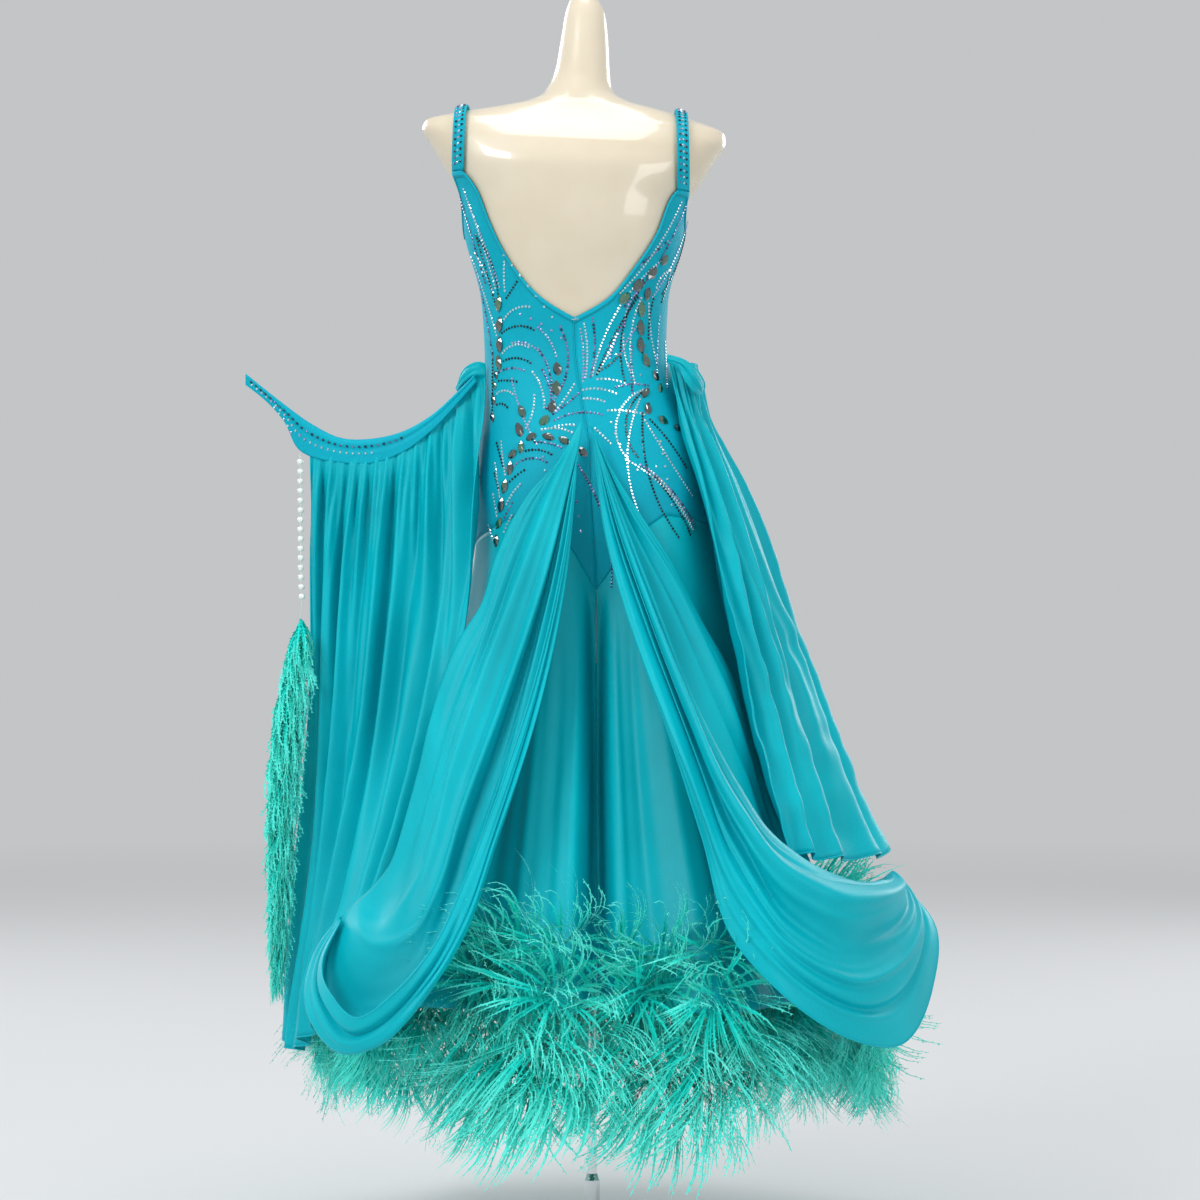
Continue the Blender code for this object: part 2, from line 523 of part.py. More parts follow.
def bodice_panel(name, columns, rows=11):
    """One panel between the hip seam and the neck edge, over the given degrees."""
    columns = np.asarray(columns, float)
    grid = []
    for share in np.linspace(0, 1, rows):
        z = seam_height(columns) * (1 - share) + neck_height(columns) * share
        grid.append(figure(columns, z, CLEAR))
    grid = np.stack(grid)
    for edge in (0, -1):
        if columns[edge] == 0:
            side = 1 if edge == 0 else -1
            grid[:, edge, 0] += side * centre_gap(grid[:, edge, 2])
    sheet(name, grid, CREPE)


STRAP_CLEAR = 0.0072    # middle of a strap above the form, along its ray
STRAP_LIFT = 0.0015     # ends of a strap above the panels' level tops
SEAM_DEGREES = 0.08     # half the gap at a side seam, as degrees round the figure


def build_bodice():
    """Back left, back right and front panels, with the concealed zip between the backs."""
    right = [0, 8, 16, 25, 34, 43, 51, 55, 60.5, 66, 72, 80, 90 - SEAM_DEGREES]
    left = [-90 + SEAM_DEGREES, -82, -75, -67, -62, -57, -52, -44, -34, -25, -16, -8, 0]
    front = [90 + SEAM_DEGREES, 98, 107, 115, 121, 126, 131, 138, 150, 165, 180]
    front += [360 - angle for angle in (165, 150, 138, 131, 126, 121, 115, 107, 98)]
    front.append(270 - SEAM_DEGREES)
    bodice_panel("bodice_back_right", right)
    bodice_panel("bodice_back_left", left)
    wrapped = np.array(front)
    wrapped = np.where(wrapped > 180, wrapped - 360, wrapped)
    bodice_panel("bodice_front", wrapped)
    heights = np.linspace(neck_height(np.array(0.0)) - ZIP_TOP_DROP, ZIP_FOOT, 7)
    grid = figure(np.zeros((7, 2)), np.repeat(heights[:, None], 2, axis=1), CLEAR)
    grid[:, 0, 0] -= ZIP_HALF_WIDTH
    grid[:, 1, 0] += ZIP_HALF_WIDTH
    sheet("back_zip", grid, CREPE)


def strap_line(foot, toe, steps=15):
    """A line over the shoulder, just clear of it, from its back foot to its front foot."""
    hub = (foot + toe) / 2
    start = math.atan2(foot[2] - hub[2], hub[1] - foot[1])
    stop = math.pi + math.atan2(hub[2] - toe[2], toe[1] - hub[1])
    line = []
    for share in np.linspace(0, 1, steps):
        angle = start + (stop - start) * share
        axis = np.array([foot[0] + (toe[0] - foot[0]) * share, hub[1], hub[2]])
        ray = np.array([0.0, -math.cos(angle), math.sin(angle)])
        near, far = 0.0, 0.3
        for _ in range(30):
            middle = (near + far) / 2
            if inside_form(axis + ray * middle):
                near = middle
            else:
                far = middle
        line.append(axis + ray * (near + STRAP_CLEAR))
    return np.array(line)


def inside_form(place):
    """Whether a place is inside the form's surface."""
    x, y, z = place
    level = smooth_between([row[0] for row in FORM_LEVELS], [row[1:] for row in FORM_LEVELS],
                           np.array(z))
    mid_x, mid_y, half, front, back, rise, square = level
    z_level = z - rise * (x - mid_x)
    level = smooth_between([row[0] for row in FORM_LEVELS], [row[1:] for row in FORM_LEVELS],
                           np.array(z_level))
    mid_x, mid_y, half, front, back, rise, square = level
    depth = back if y < mid_y else front
    return abs((x - mid_x) / half) ** square + abs((y - mid_y) / depth) ** square < 1


def build_straps():
    """Two flat straps over the shoulders, ending a seam gap from the panels."""
    for name, back_degrees, front_degrees in (("strap_right", 60.5, 126), ("strap_left", -61, -126)):
        feet = [figure(np.array(angle), neck_height(np.array(angle)), CLEAR)
                for angle in (back_degrees, front_degrees)]
        edges = []
        for share in (-0.5, 0.0, 0.5):
            foot, toe = (place + np.array([share * STRAP_WIDTH, 0, 0]) for place in feet)
            edges.append(strap_line(foot, toe))
        line = np.stack(edges, axis=1)
        for end, place in ((0, feet[0]), (-1, feet[1])):
            line[end, :, 2] = place[2] + STRAP_LIFT
        sheet(name, line, CREPE)


# -------------------------------------------------------------------------------------- skirt
def build_skirt():
    """Back left, back right and front: flared panels joined in the slit and at the sides."""
    down = np.array([0, 0.08, 0.2, 0.34, 0.5, 0.67, 0.84, 1.0])
    slit = [0.12, 0.9, 1.8, 2.8, 4.2, 6.2, 8, 11.5, 16, 20.5, 25, 29.5, 34, 40, 47, 54]
    right = slit + [60.5, 68, 75, 82, 90 - SEAM_DEGREES]
    left = [-90 + SEAM_DEGREES, -83, -76, -69, -62] + [-angle for angle in reversed(slit)]
    half = [90 + SEAM_DEGREES, 98, 106.5, 115, 122, 129, 136, 143, 150, 157.5, 165, 172.5]
    front = half + [180] + [360 - angle for angle in reversed(half)]
    for name, columns in (("skirt_back_right", right), ("skirt_back_left", left),
                          ("skirt_front", front)):
        columns = np.array(columns)
        columns = np.where(columns > 180, columns - 360, columns)
        grid = np.stack([skirt(columns, np.full(len(columns), share)) for share in down])
        sheet(name, grid, SATIN)


def build_feather_hem():
    """The ostrich trim as a plain ring of its reach, open above and below."""
    around = np.linspace(-180, 180, 64, endpoint=False)
    fluff = smooth_between(*zip(*FEATHER_FLUFF), around)[..., 0]
    rings = []
    for degrees, share_out in zip(around, fluff):
        ring = []
        for share, out in FEATHER_PROFILE:
            reach = FLAT_TRIM + (out - FLAT_TRIM) * share_out if out > FLAT_TRIM else out
            ring.append(skirt(np.array(degrees), np.array(share), reach, slit=0.0))
        rings.append(np.array(ring))
    lofted("feather_hem", rings, FEATHER, closed_run=True)


# --------------------------------------------------------------------------- swags and floats
def build_hangings():
    """Swags, floats, the raised band and the two folded flaps at the hips."""
    sheet("drape_right", hanging(RIGHT_SWAG, np.linspace(0, 1, 19), np.linspace(0, 1, 17),
                                 RIGHT_SWAG_FOLDS), SATIN)
    sheet("drape_left", hanging(LEFT_SWAG, np.linspace(0, 1, 21), np.linspace(0, 1, 17),
                                LEFT_SWAG_FOLDS), SATIN)
    down, across = np.linspace(0, 1, 10), np.linspace(0, 1, 4 * FLOAT_FOLDS + 1)
    floats = {name: hanging(rows, down, across, pleats=FLOAT_FOLDS, pleat_depth=FLOAT_FOLD_DEPTH)
              for name, rows in (("right", RIGHT_FLOAT), ("left", LEFT_FLOAT))}
    band = hanging(LEFT_BAND, np.linspace(0, 1, 21), np.linspace(0, 1, 3))
    sheet("float_right", floats["right"], SATIN)
    sheet("float_left", hung_from(floats["left"], down, band[:, -1]), SATIN)
    sheet("arm_band_left", band, CREPE)
    for name, rows in (("hip_flap_left", LEFT_FLAP), ("hip_flap_right", RIGHT_FLAP)):
        sheet(name, hanging(rows, np.linspace(0, 1, 9), np.linspace(0, 1, 5)), SATIN)


# --------------------------------------------------------------------------------- pearl drop
def build_pearl_drop():
    """Thread, pearls bored clear of it, and the feather drop hanging from its foot."""
    line = through(THREAD_ROUTE, np.linspace(0, 1, 24))
    tube("pearl_thread", line, THREAD_RADIUS, CORD)
    profile = [(PEARL_BORE, PEARL_RADIUS * 0.955)]
    for angle in (52, 26, 0, -26, -52):
        profile.append((PEARL_RADIUS * math.cos(math.radians(angle)),
                        PEARL_RADIUS * math.sin(math.radians(angle))))
    profile.append((PEARL_BORE, -PEARL_RADIUS * 0.955))
    top = THREAD_ROUTE[1][2] - PEARL_RADIUS
    fine = through(THREAD_ROUTE, np.linspace(0, 1, 400))
    for number in range(PEARL_COUNT):
        height = top - number * PEARL_PITCH
        place = fine[np.argmin(np.abs(fine[:, 2] - height))]
        turned(f"pearl_{number + 1:02d}", profile, PEARL, steps=8, at=tuple(map(float, place)))
    around = np.radians(np.linspace(0, 360, 14, endpoint=False))
    rings = [np.array([(x + r * math.cos(a), y + r * math.sin(a), z) for a in around])
             for x, y, z, r in FEATHER_DROP]
    lofted("feather_drop", rings, FEATHER)


CREPE = material("stretch_crepe", (0.01, 0.33, 0.40), 0.62)
SATIN = material("satin", (0.0, 0.44, 0.50), 0.34)
FEATHER = material("ostrich_feather", (0.02, 0.46, 0.40), 0.8)
PEARL = material("pearl", (0.86, 0.86, 0.82), 0.2)
IVORY = material("form_gloss", (0.78, 0.70, 0.58), 0.18)
CHROME = material("chrome", (0.75, 0.76, 0.78), 0.12, 1.0)
CORD = material("thread", (0.7, 0.75, 0.72), 0.5)

build_form()
build_stand()
build_bodice()
build_straps()
build_skirt()
build_feather_hem()
build_hangings()
build_pearl_drop()
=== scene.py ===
# %% [markdown]
# # A ballroom gown on a dress form
# The gown is a stretch-crepe bodice sewn to a satin skirt, with two satin swags caught up from
# the foot of the back zip, a float at each hip, an ostrich trim round the hem and stones glued on
# in sprays. It is worn by a glossy limbless form on a steel pole. The plain solids come from the
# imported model, and every piece made here sits exactly where its solid is.

# %% Load the fixed frame
import math

import bmesh
import bpy
import numpy as np
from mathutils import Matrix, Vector, noise


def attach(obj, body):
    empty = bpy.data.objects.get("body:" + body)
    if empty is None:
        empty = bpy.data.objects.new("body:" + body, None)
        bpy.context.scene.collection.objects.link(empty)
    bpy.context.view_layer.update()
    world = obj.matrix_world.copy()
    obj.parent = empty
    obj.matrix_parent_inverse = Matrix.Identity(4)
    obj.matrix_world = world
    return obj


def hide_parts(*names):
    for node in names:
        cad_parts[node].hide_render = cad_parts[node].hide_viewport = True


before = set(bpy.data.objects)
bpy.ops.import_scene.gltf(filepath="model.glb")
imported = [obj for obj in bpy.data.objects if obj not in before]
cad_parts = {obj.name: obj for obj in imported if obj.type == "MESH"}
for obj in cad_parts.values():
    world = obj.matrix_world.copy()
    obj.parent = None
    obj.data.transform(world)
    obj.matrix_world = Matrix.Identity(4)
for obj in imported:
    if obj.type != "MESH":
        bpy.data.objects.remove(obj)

for name in ("Cube", "Camera", "Light"):
    if name in bpy.data.objects:
        bpy.data.objects.remove(bpy.data.objects[name], do_unlink=True)
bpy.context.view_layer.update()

# %% [markdown]
# ## Camera, light and floor
# The gown is seen from behind at the height of its middle, with a long lens so that its sides
# run nearly parallel. The light is a plain studio's: one large soft light on each side of the
# camera, two behind so that the front reads as well, and a pale world that fills the shadows.

# %% Camera
camera_data = bpy.data.cameras.new("camera")
camera_data.lens = 94.5
camera = bpy.data.objects.new("camera", camera_data)
camera.location = (0.010, -4.0, 0.823)
camera.rotation_euler = (math.pi / 2, 0, 0)
bpy.context.scene.collection.objects.link(camera)
bpy.context.scene.camera = camera
bpy.context.scene.view_settings.view_transform = "Standard"

# %% Lights and world
SOFT_LIGHTS = [
    # name, place (x, y, z), side (m), watts
    ("key", (-2.6, -3.4, 3.2), 1.5, 88),
    ("fill", (3.0, -3.4, 1.5), 2.0, 38),
    ("top", (0.0, -0.4, 4.2), 1.8, 40),
    ("rear_left", (-2.8, 3.2, 2.6), 1.8, 60),
    ("rear_right", (2.8, 3.4, 2.0), 2.0, 52),
]
for name, place, side, watts in SOFT_LIGHTS:
    lamp = bpy.data.lights.new(name, "AREA")
    lamp.size = side
    lamp.energy = watts
    lit = bpy.data.objects.new(name, lamp)
    lit.location = place
    lit.rotation_euler = (Vector((0, 0, 0.8)) - Vector(place)).to_track_quat("-Z", "Y").to_euler()
    bpy.context.scene.collection.objects.link(lit)
WORLD_COLOUR = (0.88, 0.90, 0.92, 1)
WORLD_STRENGTH = 0.62
world = bpy.data.worlds.new("pale_studio")
world.use_nodes = True
world.node_tree.nodes["Background"].inputs["Color"].default_value = WORLD_COLOUR
world.node_tree.nodes["Background"].inputs["Strength"].default_value = WORLD_STRENGTH
bpy.context.scene.world = world
print(len(SOFT_LIGHTS), "soft lights")

# %% [markdown]
# ## Finishes
# Each finish is one node material. The cloths carry a UV map in metres, so their weave is drawn
# at its real scale and runs with the cloth. Stones and feathers read attributes that Geometry
# Nodes store on them: a tint for each row of stones, and a place along each strand.


# %% Small helpers for materials
def srgb(red, green, blue):
    """A linear colour from picker numbers of 0 to 255."""
    return tuple((part / 255 / 12.92) if part <= 10 else ((part / 255 + 0.055) / 1.055) ** 2.4
                 for part in (red, green, blue))


def new_finish(name, colour, roughness, **sockets):
    """A Principled material with its plain values set on the shader's own sockets."""
    made = bpy.data.materials.new(name)
    made.use_nodes = True
    made.diffuse_color = (*colour, 1)
    shader = made.node_tree.nodes["Principled BSDF"]
    shader.inputs["Base Color"].default_value = (*colour, 1)
    shader.inputs["Roughness"].default_value = roughness
    for label, value in sockets.items():
        label = SOCKET_NAMES.get(label, label.replace("_", " ").title())
        shader.inputs[label].default_value = value
    return made


SOCKET_NAMES = {
    "specular": "Specular IOR Level", "coat": "Coat Weight", "sheen": "Sheen Weight",
    "subsurface": "Subsurface Weight", "ior": "IOR",
}


def add_to(tree, kind, settings=(), **inputs):
    """One more node in a tree: settings are its properties, inputs its sockets, _0 the first."""
    made = tree.nodes.new(kind)
    for label, value in dict(settings).items():
        setattr(made, label, value)
    for label, value in inputs.items():
        socket = made.inputs[int(label[1:])] if label[0] == "_" else made.inputs[label]
        if isinstance(value, bpy.types.NodeSocket):
            tree.links.new(value, socket)
        else:
            socket.default_value = value
    return made


def node(finish, kind, settings=(), **inputs):
    """One more node in a material."""
    return add_to(finish.node_tree, kind, settings, **inputs)


def feed(finish, label, output):
    """Links an output into the finish's Principled shader."""
    finish.node_tree.links.new(output, finish.node_tree.nodes["Principled BSDF"].inputs[label])


def ramp(finish, factor, *stops):
    """A colour ramp: stops are (place, colour)."""
    made = node(finish, "ShaderNodeValToRGB", Fac=factor)
    elements = made.color_ramp.elements
    while len(elements) < len(stops):
        elements.new(0.5)
    for element, (place, colour) in zip(elements, stops):
        element.position = place
        element.color = (*colour, 1)
    return made.outputs["Color"]


# %% Crepe and satin
def cloth_finish(name, dark, light, roughness, cell, relief, **sockets):
    """A woven or knitted cloth: patchy colour, and a fine weave in relief, cell metres apart."""
    made = new_finish(name, light, roughness, **sockets)
    uv = node(made, "ShaderNodeUVMap", {"uv_map": "cloth"}).outputs["UV"]
    patches = node(made, "ShaderNodeTexNoise", Vector=uv, Scale=5.0, Detail=4.0).outputs["Fac"]
    fine = node(made, "ShaderNodeTexNoise", Vector=uv, Scale=0.35 / cell, Detail=3.0).outputs["Fac"]
    both = node(made, "ShaderNodeMath", {"operation": "MULTIPLY_ADD"}, _0=fine, _1=0.45, _2=patches)
    feed(made, "Base Color", ramp(made, both.outputs[0], (0.45, dark), (1.0, light)))
    warp = node(made, "ShaderNodeTexWave", {"bands_direction": "X"}, Vector=uv,
                Scale=0.1 * math.pi / cell, Distortion=0.6).outputs["Fac"]
    weft = node(made, "ShaderNodeTexWave", {"bands_direction": "DIAGONAL"}, Vector=uv,
                Scale=0.1 * math.pi / cell, Distortion=0.9).outputs["Fac"]
    weave = node(made, "ShaderNodeMath", {"operation": "ADD"}, _0=warp, _1=weft)
    bump = node(made, "ShaderNodeBump", Height=weave.outputs[0], Distance=relief, Strength=0.35)
    feed(made, "Normal", bump.outputs["Normal"])
    return made


CREPE = cloth_finish("stretch_crepe", srgb(0, 160, 182), srgb(0, 184, 206), 0.55, 0.0011, 0.00012,
                     specular=0.14)
SATIN = cloth_finish("satin", srgb(0, 166, 180), srgb(0, 196, 210), 0.42, 0.0006, 0.00005,
                     specular=0.16)
print("cloths:", CREPE.name, SATIN.name)

# %% Form, pearl, thread and steel
IVORY = new_finish("form_gloss", srgb(228, 216, 192), 0.30, coat=0.9, coat_roughness=0.06,
                   subsurface=0.06, subsurface_scale=0.02)
spots = node(IVORY, "ShaderNodeTexCoord").outputs["Object"]
mottle = node(IVORY, "ShaderNodeTexNoise", Vector=spots, Scale=7.0, Detail=4.0).outputs["Fac"]
feed(IVORY, "Base Color", ramp(IVORY, mottle, (0.3, srgb(220, 206, 180)), (0.7, srgb(231, 220, 197))))
peel = node(IVORY, "ShaderNodeTexNoise", Vector=spots, Scale=420.0).outputs["Fac"]
feed(IVORY, "Normal", node(IVORY, "ShaderNodeBump", Height=peel, Distance=0.0002,
                           Strength=0.12).outputs["Normal"])
PEARL = new_finish("pearl", srgb(236, 238, 230), 0.22, coat=0.8, coat_roughness=0.08, sheen=0.3)
# Painted sheen: the pearl's colour is paler where it faces the eye and aqua toward its rim.
pearl_painted_sheen = node(PEARL, "ShaderNodeLayerWeight", Blend=0.35).outputs["Facing"]
feed(PEARL, "Base Color", ramp(PEARL, pearl_painted_sheen, (0.1, srgb(240, 240, 234)), (0.9, srgb(176, 214, 208))))
THREAD = new_finish("thread", srgb(196, 222, 214), 0.55, sheen=0.3)
twist = node(THREAD, "ShaderNodeTexWave", {"bands_direction": "Z"}, Scale=220.0,
             Vector=node(THREAD, "ShaderNodeTexCoord").outputs["Object"]).outputs["Fac"]
feed(THREAD, "Normal", node(THREAD, "ShaderNodeBump", Height=twist, Distance=0.0002,
                            Strength=0.4).outputs["Normal"])
CHROME = new_finish("chrome", srgb(226, 228, 230), 0.10, metallic=1.0)
brush = node(CHROME, "ShaderNodeTexNoise", Scale=60.0, Detail=5.0,
             Vector=node(CHROME, "ShaderNodeTexCoord").outputs["Object"]).outputs["Fac"]
feed(CHROME, "Roughness", node(CHROME, "ShaderNodeMapRange", Value=brush, **{"To Min": 0.07,
                               "To Max": 0.17}).outputs["Result"])
for name in ("form_collar", "form_pole", "form_sleeve", "form_base"):
    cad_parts[name].data.materials.clear()
    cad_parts[name].data.materials.append(CHROME)
print("steel on collar, pole, sleeve and base")


# %% Stones and feathers
def attribute(finish, name):
    """The value that Geometry Nodes stored under this name."""
    return node(finish, "ShaderNodeAttribute", {"attribute_name": name}).outputs["Fac"]


STONE = new_finish("rhinestone", srgb(225, 235, 245), 0.06, metallic=0.75, coat=1.0)
feed(STONE, "Base Color", ramp(STONE, attribute(STONE, "tint"), (0.00, srgb(250, 252, 255)),
                               (0.25, srgb(196, 232, 240)), (0.50, srgb(190, 176, 236)),
                               (0.75, srgb(40, 52, 96)), (1.00, srgb(12, 30, 40))))
EMERALD = new_finish("green_stone", srgb(2, 48, 36), 0.05, coat=1.0, ior=1.8, specular=0.9)
feed(EMERALD, "Base Color", ramp(EMERALD, attribute(EMERALD, "tint"), (0.0, srgb(0, 112, 66)),
                                 (0.45, srgb(0, 50, 36)), (1.0, srgb(0, 22, 24))))
FEATHER = new_finish("ostrich_feather", srgb(20, 206, 190), 0.66, sheen=0.20, sheen_roughness=0.4,
                     specular=0.15)
along_strand = attribute(FEATHER, "along")
shade = attribute(FEATHER, "shade")
# Painted shade and light: each strand is darker at its root, where the tuft lies in shade, and paler
# toward its tip as if lit through it, with a random tone added per strand.
feather_painted_light_and_tone = node(FEATHER, "ShaderNodeMath", {"operation": "MULTIPLY_ADD"}, _0=shade, _1=0.45,
               _2=along_strand)
feed(FEATHER, "Base Color", ramp(FEATHER, feather_painted_light_and_tone.outputs[0], (0.0, srgb(0, 150, 150)),
                                 (0.35, srgb(0, 204, 194)), (0.70, srgb(14, 230, 216)),
                                 (1.0, srgb(96, 244, 230))))
print("stones and feathers ready")

# %% [markdown]
# ## Curves through tables
# A cloth is described by a short table of rows, each a few places that one line of the cloth
# passes through. Two kinds of curve read the tables: one never overshoots its rows, for outlines
# and levels, and one runs rounded through its points, for hanging lines.


# %% Curves
def hermite(knots, values, slope, at):
    """The cubic through the values, with the slopes, at the places."""
    i = np.clip(np.searchsorted(knots, at, side="right") - 1, 0, len(knots) - 2)
    width = (knots[i + 1] - knots[i])[..., None]
    t = (at - knots[i])[..., None] / width
    blend = t * t * (3 - 2 * t)
    turn = width * t * (1 - t) * (slope[i] * (1 - t) - slope[i + 1] * t)
    return values[i] * (1 - blend) + values[i + 1] * blend + turn


def smooth_between(knots, values, at):
    """Values between the rows of a table, by a cubic that never overshoots the rows."""
    knots = np.asarray(knots, float)
    values = np.asarray(values, float).reshape(len(knots), -1)
    at = np.clip(np.asarray(at, float), knots[0], knots[-1])
    rise = np.diff(values, axis=0) / np.diff(knots)[:, None]
    slope = np.vstack([rise[:1], np.zeros_like(rise[1:]), rise[-1:]])
    product = rise[:-1] * rise[1:]
    total = np.where(product > 0, rise[:-1] + rise[1:], 1.0)
    slope[1:-1] = np.where(product > 0, 2 * product / total, 0.0)
    return hermite(knots, values, slope, at)


def through(points, shares, knots=None):
    """Places on a rounded curve through the points, at the given shares of its run."""
    points = np.asarray(points, float)
    if knots is None:
        legs = np.linalg.norm(np.diff(points.reshape(len(points), -1), axis=0), axis=1)
        knots = np.concatenate([[0.0], np.cumsum(legs)]) / np.sum(legs)
    knots = np.asarray(knots, float)
    slope = np.gradient(points, knots, axis=0)
    return hermite(knots, points, slope, np.clip(np.asarray(shares, float), 0, 1))


def unit(vectors):
    """The vectors at length 1."""
    return vectors / np.maximum(np.linalg.norm(vectors, axis=-1, keepdims=True), 1e-12)


def normals_of(grid):
    """Unit normals of a grid of places, indexed [along, across]."""
    return unit(np.cross(np.gradient(grid, axis=0), np.gradient(grid, axis=1)))


# %% Pieces from places
def new_piece(name, places, faces, finish):
    """One piece of the object from its places and faces, riding on the one body."""
    mesh = bpy.data.meshes.new(name)
    mesh.from_pydata(np.asarray(places, float).tolist(), [],
                     [[int(corner) for corner in face] for face in faces])
    work = bmesh.new()
    work.from_mesh(mesh)
    bmesh.ops.recalc_face_normals(work, faces=work.faces)
    work.to_mesh(mesh)
    work.free()
    mesh.materials.append(finish)
    mesh.shade_smooth()
    made = bpy.data.objects.new(name, mesh)
    bpy.context.scene.collection.objects.link(made)
    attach(made, "root")
    return made


SHELL = 0.0011          # wall of a single layer of cloth


def cloth(name, grid, finish, wall=SHELL):
    """A thin shell on a grid of places, with a UV map in metres along and across the cloth."""
    rows, columns = grid.shape[:2]
    number = np.arange(rows * columns).reshape(rows, columns)
    quads = np.stack([number[:-1, :-1], number[:-1, 1:], number[1:, 1:], number[1:, :-1]], axis=-1)
    made = new_piece(name, grid.reshape(-1, 3), quads.reshape(-1, 4), finish)
    steps_across = np.linalg.norm(np.diff(grid, axis=1), axis=2).mean(axis=0)
    steps_along = np.linalg.norm(np.diff(grid, axis=0), axis=2).mean(axis=1)
    u, v = np.meshgrid(np.append(0, np.cumsum(steps_across)), np.append(0, np.cumsum(steps_along)))
    corners = np.zeros(len(made.data.loops), int)
    made.data.loops.foreach_get("vertex_index", corners)
    flat = np.stack([u.ravel(), v.ravel()], axis=1)[corners]
    made.data.uv_layers.new(name="cloth").data.foreach_set("uv", flat.ravel())
    thick = made.modifiers.new("wall", "SOLIDIFY")
    thick.thickness = wall
    thick.offset = 0.0
    area = sum(face.area for face in made.data.polygons)
    print(f"{name}: {steps_across.sum():.3f} x {steps_along.sum():.3f} m, {area:.5f} m2")
    return made


# %% [markdown]
# ## Geometry Nodes for what follows a line
# Stitches, pearls, stones and rolled hems all follow a line over the gown. Each tree starts from
# a mesh of plain edges, whose points carry the outward direction of the cloth as an attribute,
# turns it into a curve and either puts copies along it or sweeps a round section down it. A tree
# that ends in Realize Instances leaves a plain mesh, which the export keeps.


# %% Tools for node trees
def new_tree(name, **sizes):
    """An empty tree with a geometry input and output, and named inputs for its sizes."""
    tree = bpy.data.node_groups.new(name, "GeometryNodeTree")
    tree.interface.new_socket("Geometry", in_out="INPUT", socket_type="NodeSocketGeometry")
    tree.interface.new_socket("Geometry", in_out="OUTPUT", socket_type="NodeSocketGeometry")
    for label, value in sizes.items():
        kind = {float: "Float", int: "Int", str: "Object"}[type(value)]
        socket = tree.interface.new_socket(label, in_out="INPUT", socket_type="NodeSocket" + kind)
        if kind != "Object":
            socket.default_value = value
    return tree, add_to(tree, "NodeGroupInput"), add_to(tree, "NodeGroupOutput")


def read(tree, label, kind="FLOAT"):
    """The value that each point carries under this name."""
    made = add_to(tree, "GeometryNodeInputNamedAttribute", {"data_type": kind}, Name=label)
    return made.outputs[0]


def drawn(tree, given, low=0.0, high=1.0):
    """A random number for each point, between low and high."""
    made = add_to(tree, "FunctionNodeRandomValue", {"data_type": "FLOAT"},
                  Seed=given.outputs["Seed"], _2=low, _3=high)
    return made.outputs[1]


def reckoned(tree, operation, first, second):
    """The sum, difference or product of two numbers."""
    return add_to(tree, "ShaderNodeMath", {"operation": operation}, _0=first, _1=second).outputs[0]


def stored(tree, geometry, label, value):
    """The copies, with a value stored on each under a name that a material can read."""
    made = add_to(tree, "GeometryNodeStoreNamedAttribute",
                  {"data_type": "FLOAT", "domain": "INSTANCE"}, Geometry=geometry, Name=label,
                  Value=value)
    return made.outputs[0]


def finish_tree(tree, geometry, finish):
    """Ends a tree in Realize Instances and Set Material."""
    real = add_to(tree, "GeometryNodeRealizeInstances", Geometry=geometry)
    painted = add_to(tree, "GeometryNodeSetMaterial", Geometry=real.outputs[0], Material=finish)
    output = next(item for item in tree.nodes if item.bl_idname == "NodeGroupOutput")
    tree.links.new(painted.outputs[0], output.inputs[0])


def grow(name, host, tree, slot, smooth=False, **settings):
    """Runs a tree on a host mesh and keeps the result as a plain piece in the host's place."""
    modifier = host.modifiers.new("grow", "NODES")
    modifier.node_group = tree
    for item in tree.interface.items_tree:
        if item.in_out == "INPUT" and item.name in settings:
            modifier[item.identifier] = settings[item.name]
    graph = bpy.context.evaluated_depsgraph_get()
    graph.update()
    mesh = bpy.data.meshes.new_from_object(host.evaluated_get(graph))
    mesh.name = name
    bpy.data.objects.remove(host)
    if smooth:
        mesh.shade_smooth()
    made = bpy.data.objects.new(name, mesh)
    bpy.context.scene.collection.objects.link(made)
    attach(made, "root")
    mesh.calc_loop_triangles()
    print(f"{name}: {len(mesh.loop_triangles)} triangles")
    return made


def lines_host(lines):
    """Edges along each line. A line is (places, outward directions, tint)."""
    places, edges, outward, tints = [], [], [], []
    for line, normals, tint in lines:
        first = len(places)
        places += np.asarray(line).tolist()
        outward += np.asarray(normals).tolist()
        tints += [tint] * len(line)
        edges += [(first + i, first + i + 1) for i in range(len(line) - 1)]
    mesh = bpy.data.meshes.new("lines")
    mesh.from_pydata(places, edges, [])
    mesh.attributes.new("outward", "FLOAT_VECTOR", "POINT").data.foreach_set(
        "vector", np.ravel(outward))
    mesh.attributes.new("tint", "FLOAT", "POINT").data.foreach_set("value", tints)
    made = bpy.data.objects.new("lines", mesh)
    bpy.context.scene.collection.objects.link(made)
    return made


# %% A round section swept along lines
def sweep_tree(finish):
    """Rolled hems, piping and thread: a round section down each line."""
    tree, given, _ = new_tree("swept_" + finish.name, Radius=0.001, Sides=8)
    curve = add_to(tree, "GeometryNodeMeshToCurve", Mesh=given.outputs["Geometry"])
    ring = add_to(tree, "GeometryNodeCurvePrimitiveCircle", {"mode": "RADIUS"},
                  Resolution=given.outputs["Sides"], Radius=given.outputs["Radius"])
    swept = add_to(tree, "GeometryNodeCurveToMesh", **{"Curve": curve.outputs[0],
                   "Profile Curve": ring.outputs[0], "Fill Caps": True})
    finish_tree(tree, swept.outputs[0], finish)
    return tree


SWEEPS = {}


def swept(name, lines, radius, finish, slot, sides=8):
    """One mesh of round cords along the lines."""
    if finish.name not in SWEEPS:
        SWEEPS[finish.name] = sweep_tree(finish)
    host = lines_host([(line, np.tile((0.0, 0.0, 1.0), (len(line), 1)), 0.0) for line in lines])
    return grow(name, host, SWEEPS[finish.name], slot, smooth=True, Radius=radius, Sides=sides)


